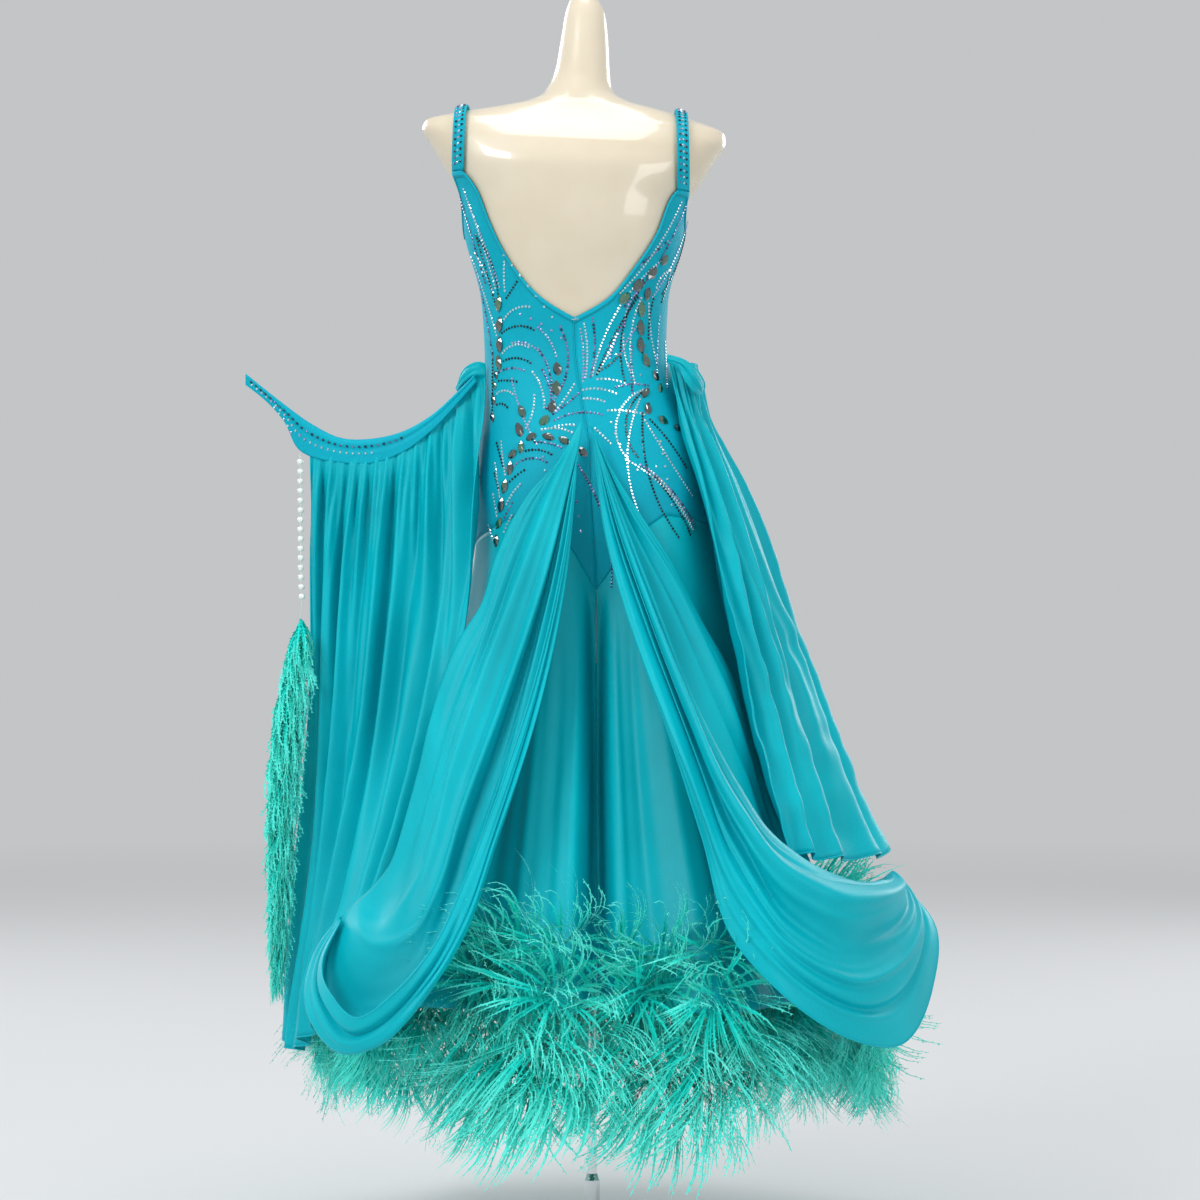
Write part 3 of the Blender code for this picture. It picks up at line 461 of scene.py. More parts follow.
# %% Copies along lines
def standing_on_cloth(tree, lengthways):
    """A rotation that stands a copy on the cloth, Z outward and X along the given direction."""
    standing = add_to(tree, "FunctionNodeAlignRotationToVector", {"axis": "Z"},
                      Vector=read(tree, "outward", "FLOAT_VECTOR"))
    turned = add_to(tree, "FunctionNodeAlignRotationToVector", {"axis": "X", "pivot_axis": "Z"},
                    Rotation=standing.outputs[0], Vector=lengthways)
    return turned.outputs[0]


def turned_further(tree, rotation, angles):
    """A rotation followed by a turn about the copy's own axes."""
    euler = add_to(tree, "FunctionNodeEulerToRotation", Euler=angles)
    return add_to(tree, "FunctionNodeRotateRotation", {"rotation_space": "LOCAL"},
                  _0=rotation, _1=euler.outputs[0]).outputs[0]


def row_tree(finish, spin=True):
    """Copies of one thing at an even pitch along each line, with a little play in their size."""
    tree, given, _ = new_tree("rows_" + finish.name, Copy="", Pitch=0.004, Size=1.0, Play=0.1,
                              Tint_play=0.1, Seed=1)
    curve = add_to(tree, "GeometryNodeMeshToCurve", Mesh=given.outputs["Geometry"])
    even = add_to(tree, "GeometryNodeResampleCurve", {"mode": "LENGTH"}, Curve=curve.outputs[0],
                  Length=given.outputs["Pitch"])
    copy = add_to(tree, "GeometryNodeObjectInfo", Object=given.outputs["Copy"])
    low = reckoned(tree, "SUBTRACT", 1.0, given.outputs["Play"])
    size = reckoned(tree, "MULTIPLY", drawn(tree, given, low), given.outputs["Size"])
    turn = standing_on_cloth(tree, add_to(tree, "GeometryNodeInputTangent").outputs[0])
    if spin:
        around = add_to(tree, "ShaderNodeCombineXYZ", Z=drawn(tree, given, high=2 * math.pi))
        turn = turned_further(tree, turn, around.outputs[0])
    placed = add_to(tree, "GeometryNodeInstanceOnPoints", Points=even.outputs[0],
                    Instance=copy.outputs["Geometry"], Rotation=turn, Scale=size)
    shown = reckoned(tree, "ADD", read(tree, "tint"),
                     drawn(tree, given, high=given.outputs["Tint_play"]))
    finish_tree(tree, stored(tree, placed.outputs[0], "tint", shown), finish)
    return tree


def model_for(name, places, faces):
    """A small mesh that a tree copies. It is not part of the object itself."""
    mesh = bpy.data.meshes.new(name)
    mesh.from_pydata(np.asarray(places, float).tolist(), [], faces)
    return bpy.data.objects.new(name, mesh)


# %% [markdown]
# ## The pearl drop
# A beading thread leaves the left band's corner, carries fifteen pearls on its loose upper part
# and runs on down as the stem of a hanging ostrich plume. Its length is the run of that one
# thread. The pearls are copies on the thread's own line, so they cannot drift off it.

# %% Thread and pearls
THREAD_RADIUS = 0.0006
PEARL_RADIUS = 0.0042
PEARL_PITCH = 0.0122
PEARL_COUNT = 15
THREAD_ROUTE = [
    # x, y, z
    (-0.3705, -0.0062, 1.0100), (-0.3700, -0.0080, 1.0020), (-0.3688, -0.0150, 0.960),
    (-0.3672, -0.0300, 0.890), (-0.3658, -0.0400, 0.850), (-0.3645, -0.0455, 0.8172),
]
FEATHER_DROP = [
    # x, y, z, reach of the barbs
    (-0.3660, -0.046, 0.800, 0.028), (-0.3700, -0.047, 0.770, 0.033),
    (-0.3820, -0.049, 0.700, 0.033), (-0.3880, -0.050, 0.600, 0.029),
    (-0.3910, -0.052, 0.500, 0.025), (-0.3930, -0.053, 0.400, 0.019),
    (-0.3950, -0.054, 0.324, 0.010),
]
whole_route = THREAD_ROUTE + [row[:3] for row in FEATHER_DROP]
thread_line = through(whole_route, np.linspace(0, 1, 160))
thread_length = float(np.linalg.norm(np.diff(thread_line, axis=0), axis=1).sum())
pearl_thread = swept("pearl_thread_line", [thread_line], THREAD_RADIUS, THREAD, "thread")
print(f"thread {thread_length:.3f} m")


def ball(radius, bands=12, around=20, squash=0.97):
    """Places and faces of a small round bead, its hole's axis along X."""
    places = [(radius * squash, 0, 0)]
    for band in range(1, bands):
        tilt = math.pi * band / bands
        places += [(radius * squash * math.cos(tilt), radius * math.sin(tilt) * math.cos(turn),
                    radius * math.sin(tilt) * math.sin(turn))
                   for turn in np.linspace(0, 2 * math.pi, around, endpoint=False)]
    places.append((-radius * squash, 0, 0))
    last = len(places) - 1
    faces = [(0, 1 + i, 1 + (i + 1) % around) for i in range(around)]
    for band in range(bands - 2):
        a, b = 1 + band * around, 1 + (band + 1) * around
        faces += [(a + i, b + i, b + (i + 1) % around, a + (i + 1) % around) for i in range(around)]
    foot = last - around
    faces += [(foot + i, last, foot + (i + 1) % around) for i in range(around)]
    return places, faces


pearl_top = THREAD_ROUTE[1][2] - PEARL_RADIUS
heights = pearl_top - PEARL_PITCH * np.arange(PEARL_COUNT)
pearl_line = np.stack([np.interp(-heights, -thread_line[:, 2], thread_line[:, axis])
                       for axis in range(3)], axis=1)
pearl_model = model_for("pearl_model", *ball(PEARL_RADIUS))
level = np.tile((0.0, -1.0, 0.0), (PEARL_COUNT, 1))
pitch = float(np.linalg.norm(np.diff(pearl_line, axis=0), axis=1).sum()) / (PEARL_COUNT - 1)
pearls = grow("pearls", lines_host([(pearl_line, level, 0.0)]), row_tree(PEARL, spin=False), "pearl",
              smooth=True, Copy=pearl_model, Pitch=pitch * 0.999, Play=0.04)

# %% [markdown]
# ## Ostrich strands
# Ostrich flue is a soft strand with short barbs along both sides. It leaves the trim stiffly,
# then droops and curls at its tip. Each strand here is a twisted ribbon with thin barbs standing
# off it, worked out step by step as its own weight bends it, and a collection of such strands
# is copied by Geometry Nodes. Copies turn only about the upright, so that all of them still
# droop downwards.

# %% Shapes of strands
STRAND_STEPS = 6
STRAND_HALF_WIDTH = 0.0015
BARB_LENGTH = 0.0042


def strand(heading, lean, length, weight, curl, draw):
    """One strand in a frame with X out of the cloth, Y sideways and Z up, angles in degrees."""
    up, side = math.radians(heading), math.radians(lean)
    way = np.array([math.sin(side), math.cos(side) * math.sin(up), math.cos(side) * math.cos(up)])
    bend = unit(np.cross(way, draw.normal(size=3)))
    line = [np.zeros(3)]
    ways = [way]
    for step in range(STRAND_STEPS):
        share = (step + 1) / STRAND_STEPS
        way = unit(way + np.array([0, 0, -weight * share]) + bend * curl * share ** 2)
        line.append(line[-1] + way * length / STRAND_STEPS)
        ways.append(way)
    line, ways = np.array(line), np.array(ways)
    turn = draw.uniform(0, 2 * math.pi) + np.linspace(0, draw.uniform(1, 3), len(line))
    flat = unit(np.cross(ways, (0.3, 0.5, 0.81)))
    across = flat * np.cos(turn)[:, None] + np.cross(ways, flat) * np.sin(turn)[:, None]
    shares = np.linspace(0, 1, len(line))
    half = STRAND_HALF_WIDTH * np.sqrt(np.clip(shares / 0.2, 0.15, 1)) * (1 - shares ** 2 * 0.8)
    places, share_along = [], []
    for point, over, wide, share in zip(line, across, half, shares):
        places += [point - over * wide, point + over * wide]
        share_along += [share, share]
    faces = [(2 * i, 2 * i + 1, 2 * i + 3, 2 * i + 2) for i in range(STRAND_STEPS)]
    for i in range(1, len(line)):
        for hand in (-1, 1):
            reach = BARB_LENGTH * draw.uniform(0.6, 1.1) * (1 - 0.4 * shares[i])
            root = line[i] - ways[i] * length / STRAND_STEPS * (0.35 if hand > 0 else 0.75)
            tip = root + across[i] * hand * (reach + half[i]) + ways[i] * reach + (0, 0, -0.2 * reach)
            first = len(places)
            places += [root, root + ways[i] * 0.0034, tip]
            share_along += [shares[i], shares[i], min(1.0, shares[i] + 0.2)]
            faces.append((first, first + 1, first + 2))
    return places, faces, share_along


def strand_set(name, length, lean, weight, curl, count=16, seed=11):
    """A collection of strands to copy, their headings spread evenly all the way round."""
    group = bpy.data.collections.new(name)
    draw = np.random.default_rng(seed)
    for number in range(count):
        play = draw.uniform(0.85, 1.15, size=4)
        places, faces, share_along = strand(360 * number / count, lean * play[0], length * play[1],
                                            weight * play[2], curl * play[3], draw)
        made = model_for(f"{name}_{number}", places, faces)
        made.data.attributes.new("along", "FLOAT", "POINT").data.foreach_set("value", share_along)
        group.objects.link(made)
    return group


# %% The tree that plants strands
def strand_tree():
    """A strand on every point: its kind and reach are read from it, and it faces out of the cloth."""
    tree, given, _ = new_tree("planted_strands", Small=0.8, Large=1.2, Swing=0.2, Tilt=0.15, Seed=1)
    group = tree.interface.new_socket("Strands", in_out="INPUT", socket_type="NodeSocketCollection")
    kinds = add_to(tree, "GeometryNodeCollectionInfo", _0=given.outputs[group.name],
                   _1=True, _2=True)
    facing = add_to(tree, "FunctionNodeAlignRotationToVector", {"axis": "X", "pivot_axis": "Z"},
                    Vector=read(tree, "outward", "FLOAT_VECTOR"))
    spread = add_to(tree, "ShaderNodeCombineXYZ", X=given.outputs["Tilt"], Y=given.outputs["Tilt"],
                    Z=given.outputs["Swing"])
    back = add_to(tree, "ShaderNodeVectorMath", {"operation": "SCALE"}, Vector=spread.outputs[0],
                  Scale=-1.0)
    lean = add_to(tree, "FunctionNodeRandomValue", {"data_type": "FLOAT_VECTOR"},
                  Seed=given.outputs["Seed"], _0=back.outputs[0], _1=spread.outputs[0])
    size = drawn(tree, given, given.outputs["Small"], given.outputs["Large"])
    placed = add_to(tree, "GeometryNodeInstanceOnPoints", **{"Points": given.outputs["Geometry"],
                    "Instance": kinds.outputs[0], "Pick Instance": True,
                    "Instance Index": read(tree, "kind", "INT"),
                    "Rotation": turned_further(tree, facing.outputs[0], lean.outputs[0]),
                    "Scale": reckoned(tree, "MULTIPLY", size, read(tree, "reach"))})
    shade = stored(tree, placed.outputs[0], "shade", drawn(tree, given))
    finish_tree(tree, shade, FEATHER)
    return tree


STRANDS = strand_tree()


def points_host(places, **values):
    """Loose points for a tree to put copies on, with a named value or direction for each."""
    mesh = bpy.data.meshes.new("points")
    mesh.from_pydata(np.asarray(places, float).tolist(), [], [])
    for label, column in values.items():
        column = np.asarray(column)
        if column.ndim == 2:
            mesh.attributes.new(label, "FLOAT_VECTOR", "POINT").data.foreach_set(
                "vector", column.astype(float).ravel())
        else:
            kind = "INT" if column.dtype.kind == "i" else "FLOAT"
            mesh.attributes.new(label, kind, "POINT").data.foreach_set("value", column.tolist())
    made = bpy.data.objects.new("points", mesh)
    bpy.context.scene.collection.objects.link(made)
    return made


# %% The hanging plume
DROP_STRANDS = 1700
DROP_HEADINGS = 12
DROP_REACH = 0.030      # reach at which a strand keeps its full length
DROP_KINDS = strand_set("drop_strands", length=0.064, lean=19, weight=0.25, curl=0.34,
                        count=DROP_HEADINGS, seed=5)
draw = np.random.default_rng(17)
stem_shares = np.sort(draw.uniform(0, 0.97, DROP_STRANDS))
stem = through([row[:3] for row in FEATHER_DROP], stem_shares)
stem_reach = np.interp(stem_shares, np.linspace(0, 1, len(FEATHER_DROP)),
                       [row[3] for row in FEATHER_DROP])
stem_turn = draw.uniform(0, 2 * math.pi, DROP_STRANDS)
stem_out = np.stack([np.cos(stem_turn), np.sin(stem_turn), np.zeros(DROP_STRANDS)], axis=1)
hanging_kinds = draw.integers(DROP_HEADINGS // 2 - 1, DROP_HEADINGS // 2 + 2, DROP_STRANDS)
feather_drop = grow("feather_plume", points_host(stem + stem_out * 0.001, outward=stem_out,
                    reach=stem_reach / DROP_REACH, kind=hanging_kinds), STRANDS, "ostrich_feather",
                    Strands=DROP_KINDS, Swing=0.4, Tilt=0.08, Large=1.05, Seed=5)
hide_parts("pearl_thread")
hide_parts(*(f"pearl_{number + 1:02d}" for number in range(PEARL_COUNT)))
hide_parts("feather_drop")

# %% [markdown]
# ## The form
# The dress form is a smooth limbless torso in glossy ivory. Its level sections come from a table
# of half widths and depths, and every worn cloth is laid on the same surface, moved out a little.
# That is why the surface is a function of degrees round the figure and height, and not a mesh.

# %% The figure's surface
FORM_LEVELS = [
    # z,     mid_x,  mid_y, half,  front, back,  rise,   square
    (0.745, 0.004, 0.000, 0.134, 0.088, 0.088, 0.030, 2.2),
    (0.850, 0.005, 0.000, 0.146, 0.092, 0.106, 0.035, 2.2),
    (0.945, 0.000, 0.000, 0.146, 0.092, 0.114, 0.035, 2.2),
    (1.013, -0.003, 0.002, 0.138, 0.092, 0.106, 0.035, 2.2),
    (1.077, -0.013, 0.006, 0.122, 0.088, 0.088, 0.030, 2.2),
    (1.140, -0.021, 0.010, 0.111, 0.084, 0.078, 0.018, 2.2),
    (1.201, -0.022, 0.010, 0.114, 0.092, 0.084, 0.000, 2.3),
    (1.280, -0.023, 0.006, 0.134, 0.106, 0.098, -0.025, 2.4),
    (1.325, -0.023, 0.004, 0.143, 0.102, 0.102, -0.040, 2.4),
    (1.363, -0.023, 0.000, 0.165, 0.092, 0.100, -0.048, 2.4),
    (1.394, -0.023, -0.002, 0.184, 0.078, 0.088, -0.048, 2.3),
    (1.411, -0.023, -0.003, 0.193, 0.066, 0.076, -0.048, 2.2),
    (1.422, -0.022, -0.004, 0.190, 0.056, 0.066, -0.045, 2.1),
    (1.435, -0.021, -0.005, 0.152, 0.046, 0.056, -0.035, 2.0),
    (1.445, -0.019, -0.005, 0.108, 0.041, 0.050, -0.020, 2.0),
    (1.454, -0.018, -0.004, 0.068, 0.038, 0.046, -0.010, 2.0),
    (1.466, -0.017, -0.002, 0.045, 0.036, 0.043, 0.000, 2.0),
    (1.490, -0.013, 0.002, 0.036, 0.034, 0.037, 0.000, 2.0),
    (1.530, -0.010, 0.006, 0.031, 0.031, 0.032, 0.000, 2.0),
    (1.566, -0.009, 0.008, 0.026, 0.026, 0.026, 0.000, 2.0),
    (1.585, -0.010, 0.009, 0.019, 0.019, 0.019, 0.000, 2.0),
    (1.592, -0.011, 0.009, 0.012, 0.012, 0.012, 0.000, 2.0),
    (1.595, -0.011, 0.009, 0.003, 0.003, 0.003, 0.000, 2.0),
]
CLEAR = 0.0042          # middle of the worn cloth above the form


def level_at(z):
    """The form's section at a height, as its table's columns."""
    levels = smooth_between([row[0] for row in FORM_LEVELS], [row[1:] for row in FORM_LEVELS], z)
    return np.moveaxis(levels, -1, 0)


def power(value, exponent):
    """A power that keeps the sign."""
    return np.sign(value) * np.abs(value) ** exponent


def figure(degrees, z, out=0.0):
    """Places on the form, degrees round from the centre back towards +X, moved out level."""
    mid_x, mid_y, half, front, back, rise, square = level_at(z)
    turn = np.radians(degrees)
    rear = power(np.cos(turn), 2 / square)
    x = mid_x + (half + out) * power(np.sin(turn), 2 / square)
    y = mid_y - (np.where(rear > 0, back, front) + out) * rear
    return np.stack([x, y, z + rise * (x - mid_x)], axis=-1)


def build_form():
    """The torso, closed by its foot and its top, and finer than the plain solid."""
    knots = [row[0] for row in FORM_LEVELS]
    heights = np.concatenate([np.linspace(a, b, 6, endpoint=False) for a, b in zip(knots, knots[1:])])
    heights = np.append(heights, knots[-1])
    around = np.linspace(-180, 180, 96, endpoint=False)
    rings = np.stack([figure(around, np.full(len(around), z)) for z in heights])
    rings[0, :, 2] = knots[0]
    count = len(around)
    faces = [(r * count + c, r * count + (c + 1) % count,
              (r + 1) * count + (c + 1) % count, (r + 1) * count + c)
             for r in range(len(rings) - 1) for c in range(count)]
    faces += [range(count), range((len(rings) - 1) * count, len(rings) * count)]
    made = new_piece("torso_ivory", rings.reshape(-1, 3), faces, IVORY)
    made.data.set_sharp_from_angle(angle=math.radians(60))
    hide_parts("form_torso")
    print("torso", len(made.data.polygons), "faces")


build_form()

# %% [markdown]
# ## The bodice
# A crepe bodice is cut in two backs and a front, bound at the neck and armholes, with a concealed
# zip down the centre back. It fits the figure without a crease, so each panel is a patch of the
# figure's own surface between the hip seam and the neck edge. The binding is a narrow strip over
# the edge, held by a row of stitches a little way in.

# %% Outlines of the bodice
NECK_AND_ARMHOLES = [
    # degrees, z
    (-180, 1.262), (-158, 1.272), (-140, 1.318), (-131, 1.352), (-121, 1.352), (-106, 1.306),
    (-90, 1.284), (-78, 1.306), (-67, 1.352), (-57, 1.352), (-46, 1.296), (-34, 1.240),
    (-20, 1.204), (0, 1.174), (20, 1.202), (34, 1.240), (46, 1.286), (55, 1.340),
    (66, 1.340), (78, 1.306), (90, 1.288), (106, 1.306), (121, 1.348), (131, 1.348),
    (140, 1.318), (158, 1.272), (180, 1.262),
]
HIP_SEAM = [
    # degrees, z
    (-180, 0.860), (-150, 0.925), (-115, 0.920), (-90, 0.897), (-62, 0.912), (-34, 0.932),
    (-16, 0.915), (-8, 0.880), (0, 0.836), (8, 0.868), (16, 0.900), (34, 0.925), (60.5, 0.918),
    (90, 0.912), (115, 0.925), (150, 0.925), (180, 0.860),
]
ZIP_FOOT = 1.035
ZIP_HALF_WIDTH = 0.0019


def neck_height(degrees):
    """Height of the top edge, its two halves meeting in a V at the centre back."""
    rows = np.array(NECK_AND_ARMHOLES, float)
    middle = int(np.argmin(np.abs(rows[:, 0])))
    left = smooth_between(*rows[:middle + 1].T, np.minimum(degrees, 0))[..., 0]
    right = smooth_between(*rows[middle:].T, np.maximum(degrees, 0))[..., 0]
    return np.where(np.asarray(degrees) < 0, left, right)


def seam_height(degrees):
    """Height of the seam between bodice and skirt."""
    return np.interp(degrees, *zip(*HIP_SEAM))


def centre_gap(z):
    """Half the space between the backs: the zip's width, closing below its foot."""
    ease = np.clip((ZIP_FOOT + 0.004 - z) / 0.006, 0, 1)
    return (ZIP_HALF_WIDTH - 0.0006) * (1 - ease) + 0.0001


def around_figure(columns):
    """Degrees past the centre front, brought back into -180 to 180."""
    columns = np.asarray(columns, float)
    return np.where(columns > 180, columns - 360, columns)


# %% Bodice panels
def bodice_panel(name, start, stop, columns=56, rows=64):
    """One panel between the hip seam and the neck edge, over the given degrees."""
    degrees = around_figure(np.linspace(start, stop, columns))
    grid = []
    for share in np.linspace(0, 1, rows):
        z = seam_height(degrees) * (1 - share) + neck_height(degrees) * share
        grid.append(figure(degrees, z, CLEAR))
    grid = np.stack(grid)
    for edge, side in ((0, 1), (-1, -1)):
        if degrees[edge] == 0:
            grid[:, edge, 0] += side * centre_gap(grid[:, edge, 2])
    return cloth(name, grid, CREPE)


back_right = bodice_panel("bodice_back_right_crepe", 0, 89.9)
back_left = bodice_panel("bodice_back_left_crepe", -89.9, 0)
bodice_front = bodice_panel("bodice_front_crepe", 90.1, 269.9, columns=96)
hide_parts("bodice_back_right")
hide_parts("bodice_back_left")
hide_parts("bodice_front")

# %% Binding round the neck and armholes
BINDING = 0.0062
edge_degrees = np.linspace(-180, 180, 361)
edge_z = neck_height(edge_degrees)
binding_grid = np.stack([
    figure(edge_degrees, edge_z + 0.0006, CLEAR - 0.0012),
    figure(edge_degrees, edge_z + 0.0012, CLEAR),
    figure(edge_degrees, edge_z + 0.0006, CLEAR + 0.0012),
    figure(edge_degrees, edge_z - BINDING * 0.5, CLEAR + 0.0014),
    figure(edge_degrees, edge_z - BINDING, CLEAR + 0.0011),
])
binding = cloth("neck_binding", binding_grid, CREPE, wall=0.0006)


def piped(degrees, drop, out):
    """A line a little below the neck edge, with the cloth's outward directions."""
    places = figure(degrees, neck_height(degrees) - drop, out)
    inner = figure(degrees, neck_height(degrees) - drop, out - 0.01)
    return places, unit(places - inner)


def stitch_model(length=0.0021, width=0.00038):
    """One stitch: a short round-backed bar along X."""
    places = []
    for x, size in ((-0.5, 0.5), (-0.3, 1.0), (0.3, 1.0), (0.5, 0.5)):
        for angle in (20, 90, 160, 270):
            turn = math.radians(angle)
            places.append((x * length, width * size * math.cos(turn),
                           width * size * math.sin(turn)))
    faces = [(4 * r + c, 4 * r + (c + 1) % 4, 4 * r + 4 + (c + 1) % 4, 4 * r + 4 + c)
             for r in range(3) for c in range(4)]
    return model_for("stitch", places, faces + [(3, 2, 1, 0), (12, 13, 14, 15)])


SEAM_THREAD = new_finish("seam_thread", srgb(0, 120, 136), 0.6, sheen=0.2)
stitch = stitch_model()
stitch_lines = []
for degrees in (np.linspace(-180, -1, 300), np.linspace(1, 180, 300)):
    places, normals = piped(degrees, BINDING * 0.82, CLEAR + 0.0018)
    stitch_lines.append((places, normals, 0.0))
neck_stitches = grow("neck_stitches", lines_host(stitch_lines), row_tree(SEAM_THREAD, spin=False),
                     "stretch_crepe", Copy=stitch, Pitch=0.0030, Play=0.08)

# %% Concealed zip with its hook and eye
zip_top = float(neck_height(np.array(0.0))) - 0.003
zip_z = np.linspace(zip_top, ZIP_FOOT, 40)
zip_grid = figure(np.zeros((40, 5)), np.repeat(zip_z[:, None], 5, axis=1), CLEAR - 0.0004)
zip_grid[..., 0] += np.linspace(-1, 1, 5) * (ZIP_HALF_WIDTH + 0.0008)
back_zip = cloth("back_zip_tape", zip_grid, SEAM_THREAD, wall=0.0007)
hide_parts("back_zip")
lips = []
for side in (-1, 1):
    lip = figure(np.zeros(60), np.linspace(zip_top + 0.002, ZIP_FOOT - 0.006, 60), CLEAR + 0.0002)
    lip[:, 0] += side * 0.0010
    lips.append(lip)
zip_lips = swept("zip_lips", lips, 0.0008, CREPE, "stretch_crepe", sides=8)
hook_at = figure(np.array(0.0), np.array(zip_top + 0.0015), CLEAR + 0.0018)
loop = [hook_at + (0.0017 + 0.00273 * math.sin(a), -0.0003, 0.0013 * math.cos(a))
        for a in np.linspace(-2.6, 2.6, 18)]
hook = [hook_at + (-0.0044 + 0.0062 * s, -0.0006 - 0.0010 * math.sin(math.pi * s), 0.0)
        for s in np.linspace(0, 1, 12)]
hook_and_eye = swept("hook_and_eye", [np.array(loop), np.array(hook)], 0.00034, CHROME, "chrome",
                     sides=6)


# %% Straps
STRAP_WIDTH = 0.015
STRAP_CLEAR = 0.0072    # middle of a strap above the form, along its ray
STRAP_LIFT = 0.0015     # ends of a strap above the panels' level tops


def inside_form(place):
    """Whether a place is inside the form's surface."""
    x, y, z = place
    mid_x, rise = level_at(np.array(z))[[0, 5]]
    mid_x, mid_y, half, front, back, rise, square = level_at(np.array(z - rise * (x - mid_x)))
    depth = back if y < mid_y else front
    return abs((x - mid_x) / half) ** square + abs((y - mid_y) / depth) ** square < 1


def strap_line(foot, toe, steps=40):
    """A line over the shoulder, just clear of it, from its back foot to its front foot."""
    hub = (foot + toe) / 2
    start = math.atan2(foot[2] - hub[2], hub[1] - foot[1])
    stop = math.pi + math.atan2(hub[2] - toe[2], toe[1] - hub[1])
    line = []
    for share in np.linspace(0, 1, steps):
        angle = start + (stop - start) * share
        axis = np.array([foot[0] + (toe[0] - foot[0]) * share, hub[1], hub[2]])
        ray = np.array([0.0, -math.cos(angle), math.sin(angle)])
        near, far = 0.0, 0.3
        for _ in range(16):
            middle = (near + far) / 2
            near, far = (middle, far) if inside_form(axis + ray * middle) else (near, middle)
        line.append(axis + ray * (near + STRAP_CLEAR))
    return np.array(line)


strap_grids = {}
for name, back_degrees, front_degrees in (("strap_right", 60.5, 126), ("strap_left", -61, -126)):
    feet = [figure(np.array(angle), neck_height(np.array(angle)), CLEAR)
            for angle in (back_degrees, front_degrees)]
    edges = []
    for share in (-0.5, -0.44, -0.25, 0.0, 0.25, 0.44, 0.5):
        foot, toe = (place + np.array([share * STRAP_WIDTH, 0, 0]) for place in feet)
        edges.append(strap_line(foot, toe))
    grid = np.stack(edges, axis=1)
    for end, place in ((0, feet[0]), (-1, feet[1])):
        grid[end, :, 2] = place[2] + STRAP_LIFT
    grid[:, (0, -1)] -= normals_of(grid)[:, (0, -1)] * 0.0004
    strap_grids[name] = grid
    cloth(name + "_crepe", grid, CREPE, wall=0.0014)
    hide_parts(name)

# %% [markdown]
# ## The skirt
# Two satin backs and a front hang from the hip seam and flare to the hem. The flare is a power of
# the way down, so the cloth clings at the hips and spreads below them. Broad waves run round it,
# and a deep inverted fold lies at the centre back. Listed creases break up the even waves.

# %% Skirt surface
HEM_HEIGHT = 0.34
HEM_HALF = 0.330
HEM_CENTRE_X = 0.006
SEAM_LAP = 0.0016       # how far the skirt goes up inside the bodice
LAP_INSIDE = 0.0004     # and how far in
SKIRT_WAVES = [
    # waves, share, phase
    (9, 0.62, 90), (13, 0.26, 40), (5, 0.24, 200),
]
FLARE_DEPTH = 0.024
FLARE_POWER = 1.45
BELOW_HEM_SPREAD = 0.15
SLIT_DEPTH = 0.085
SLIT_WIDTH = 3.4
SKIRT_CREASES = [
    # degrees, width, depth, from, to
    (7, 1.6, 0.006, 0.10, 1.3), (14, 2.4, -0.007, 0.15, 1.3), (23, 2.0, 0.005, 0.35, 1.3),
    (31, 3.0, -0.006, 0.25, 1.3), (44, 2.5, 0.005, 0.30, 1.2), (55, 3.2, -0.007, 0.2, 1.3),
    (-6, 1.5, 0.005, 0.12, 1.2), (-12, 2.2, -0.006, 0.2, 1.3), (-19, 1.8, 0.006, 0.3, 1.3),
    (-28, 3.0, -0.007, 0.15, 1.3), (-39, 2.6, 0.006, 0.4, 1.3), (-52, 3.0, -0.006, 0.3, 1.2),
    (74, 2.8, 0.007, 0.2, 1.3), (86, 3.2, -0.006, 0.35, 1.3), (101, 2.4, 0.006, 0.15, 1.2),
    (113, 3.4, -0.007, 0.25, 1.3), (127, 2.2, 0.006, 0.3, 1.3), (139, 3.0, -0.006, 0.1, 1.2),
    (152, 2.6, 0.007, 0.35, 1.3), (166, 3.2, -0.006, 0.2, 1.3), (178, 2.4, 0.006, 0.3, 1.3),
    (-76, 3.0, 0.006, 0.25, 1.3), (-89, 2.6, -0.007, 0.3, 1.3), (-103, 3.0, 0.006, 0.2, 1.3),
    (-118, 2.4, -0.006, 0.35, 1.3), (-131, 3.2, 0.007, 0.15, 1.2), (-147, 2.6, -0.006, 0.3, 1.3),
    (-161, 2.2, 0.006, 0.25, 1.3), (-171, 2.8, -0.006, 0.2, 1.3),
]


def flares(degrees):
    """Broad soft waves round the skirt, between about -1 and 1."""
    turn = np.radians(degrees)
    return sum(share * np.cos(waves * turn + math.radians(phase))
               for waves, share, phase in SKIRT_WAVES)


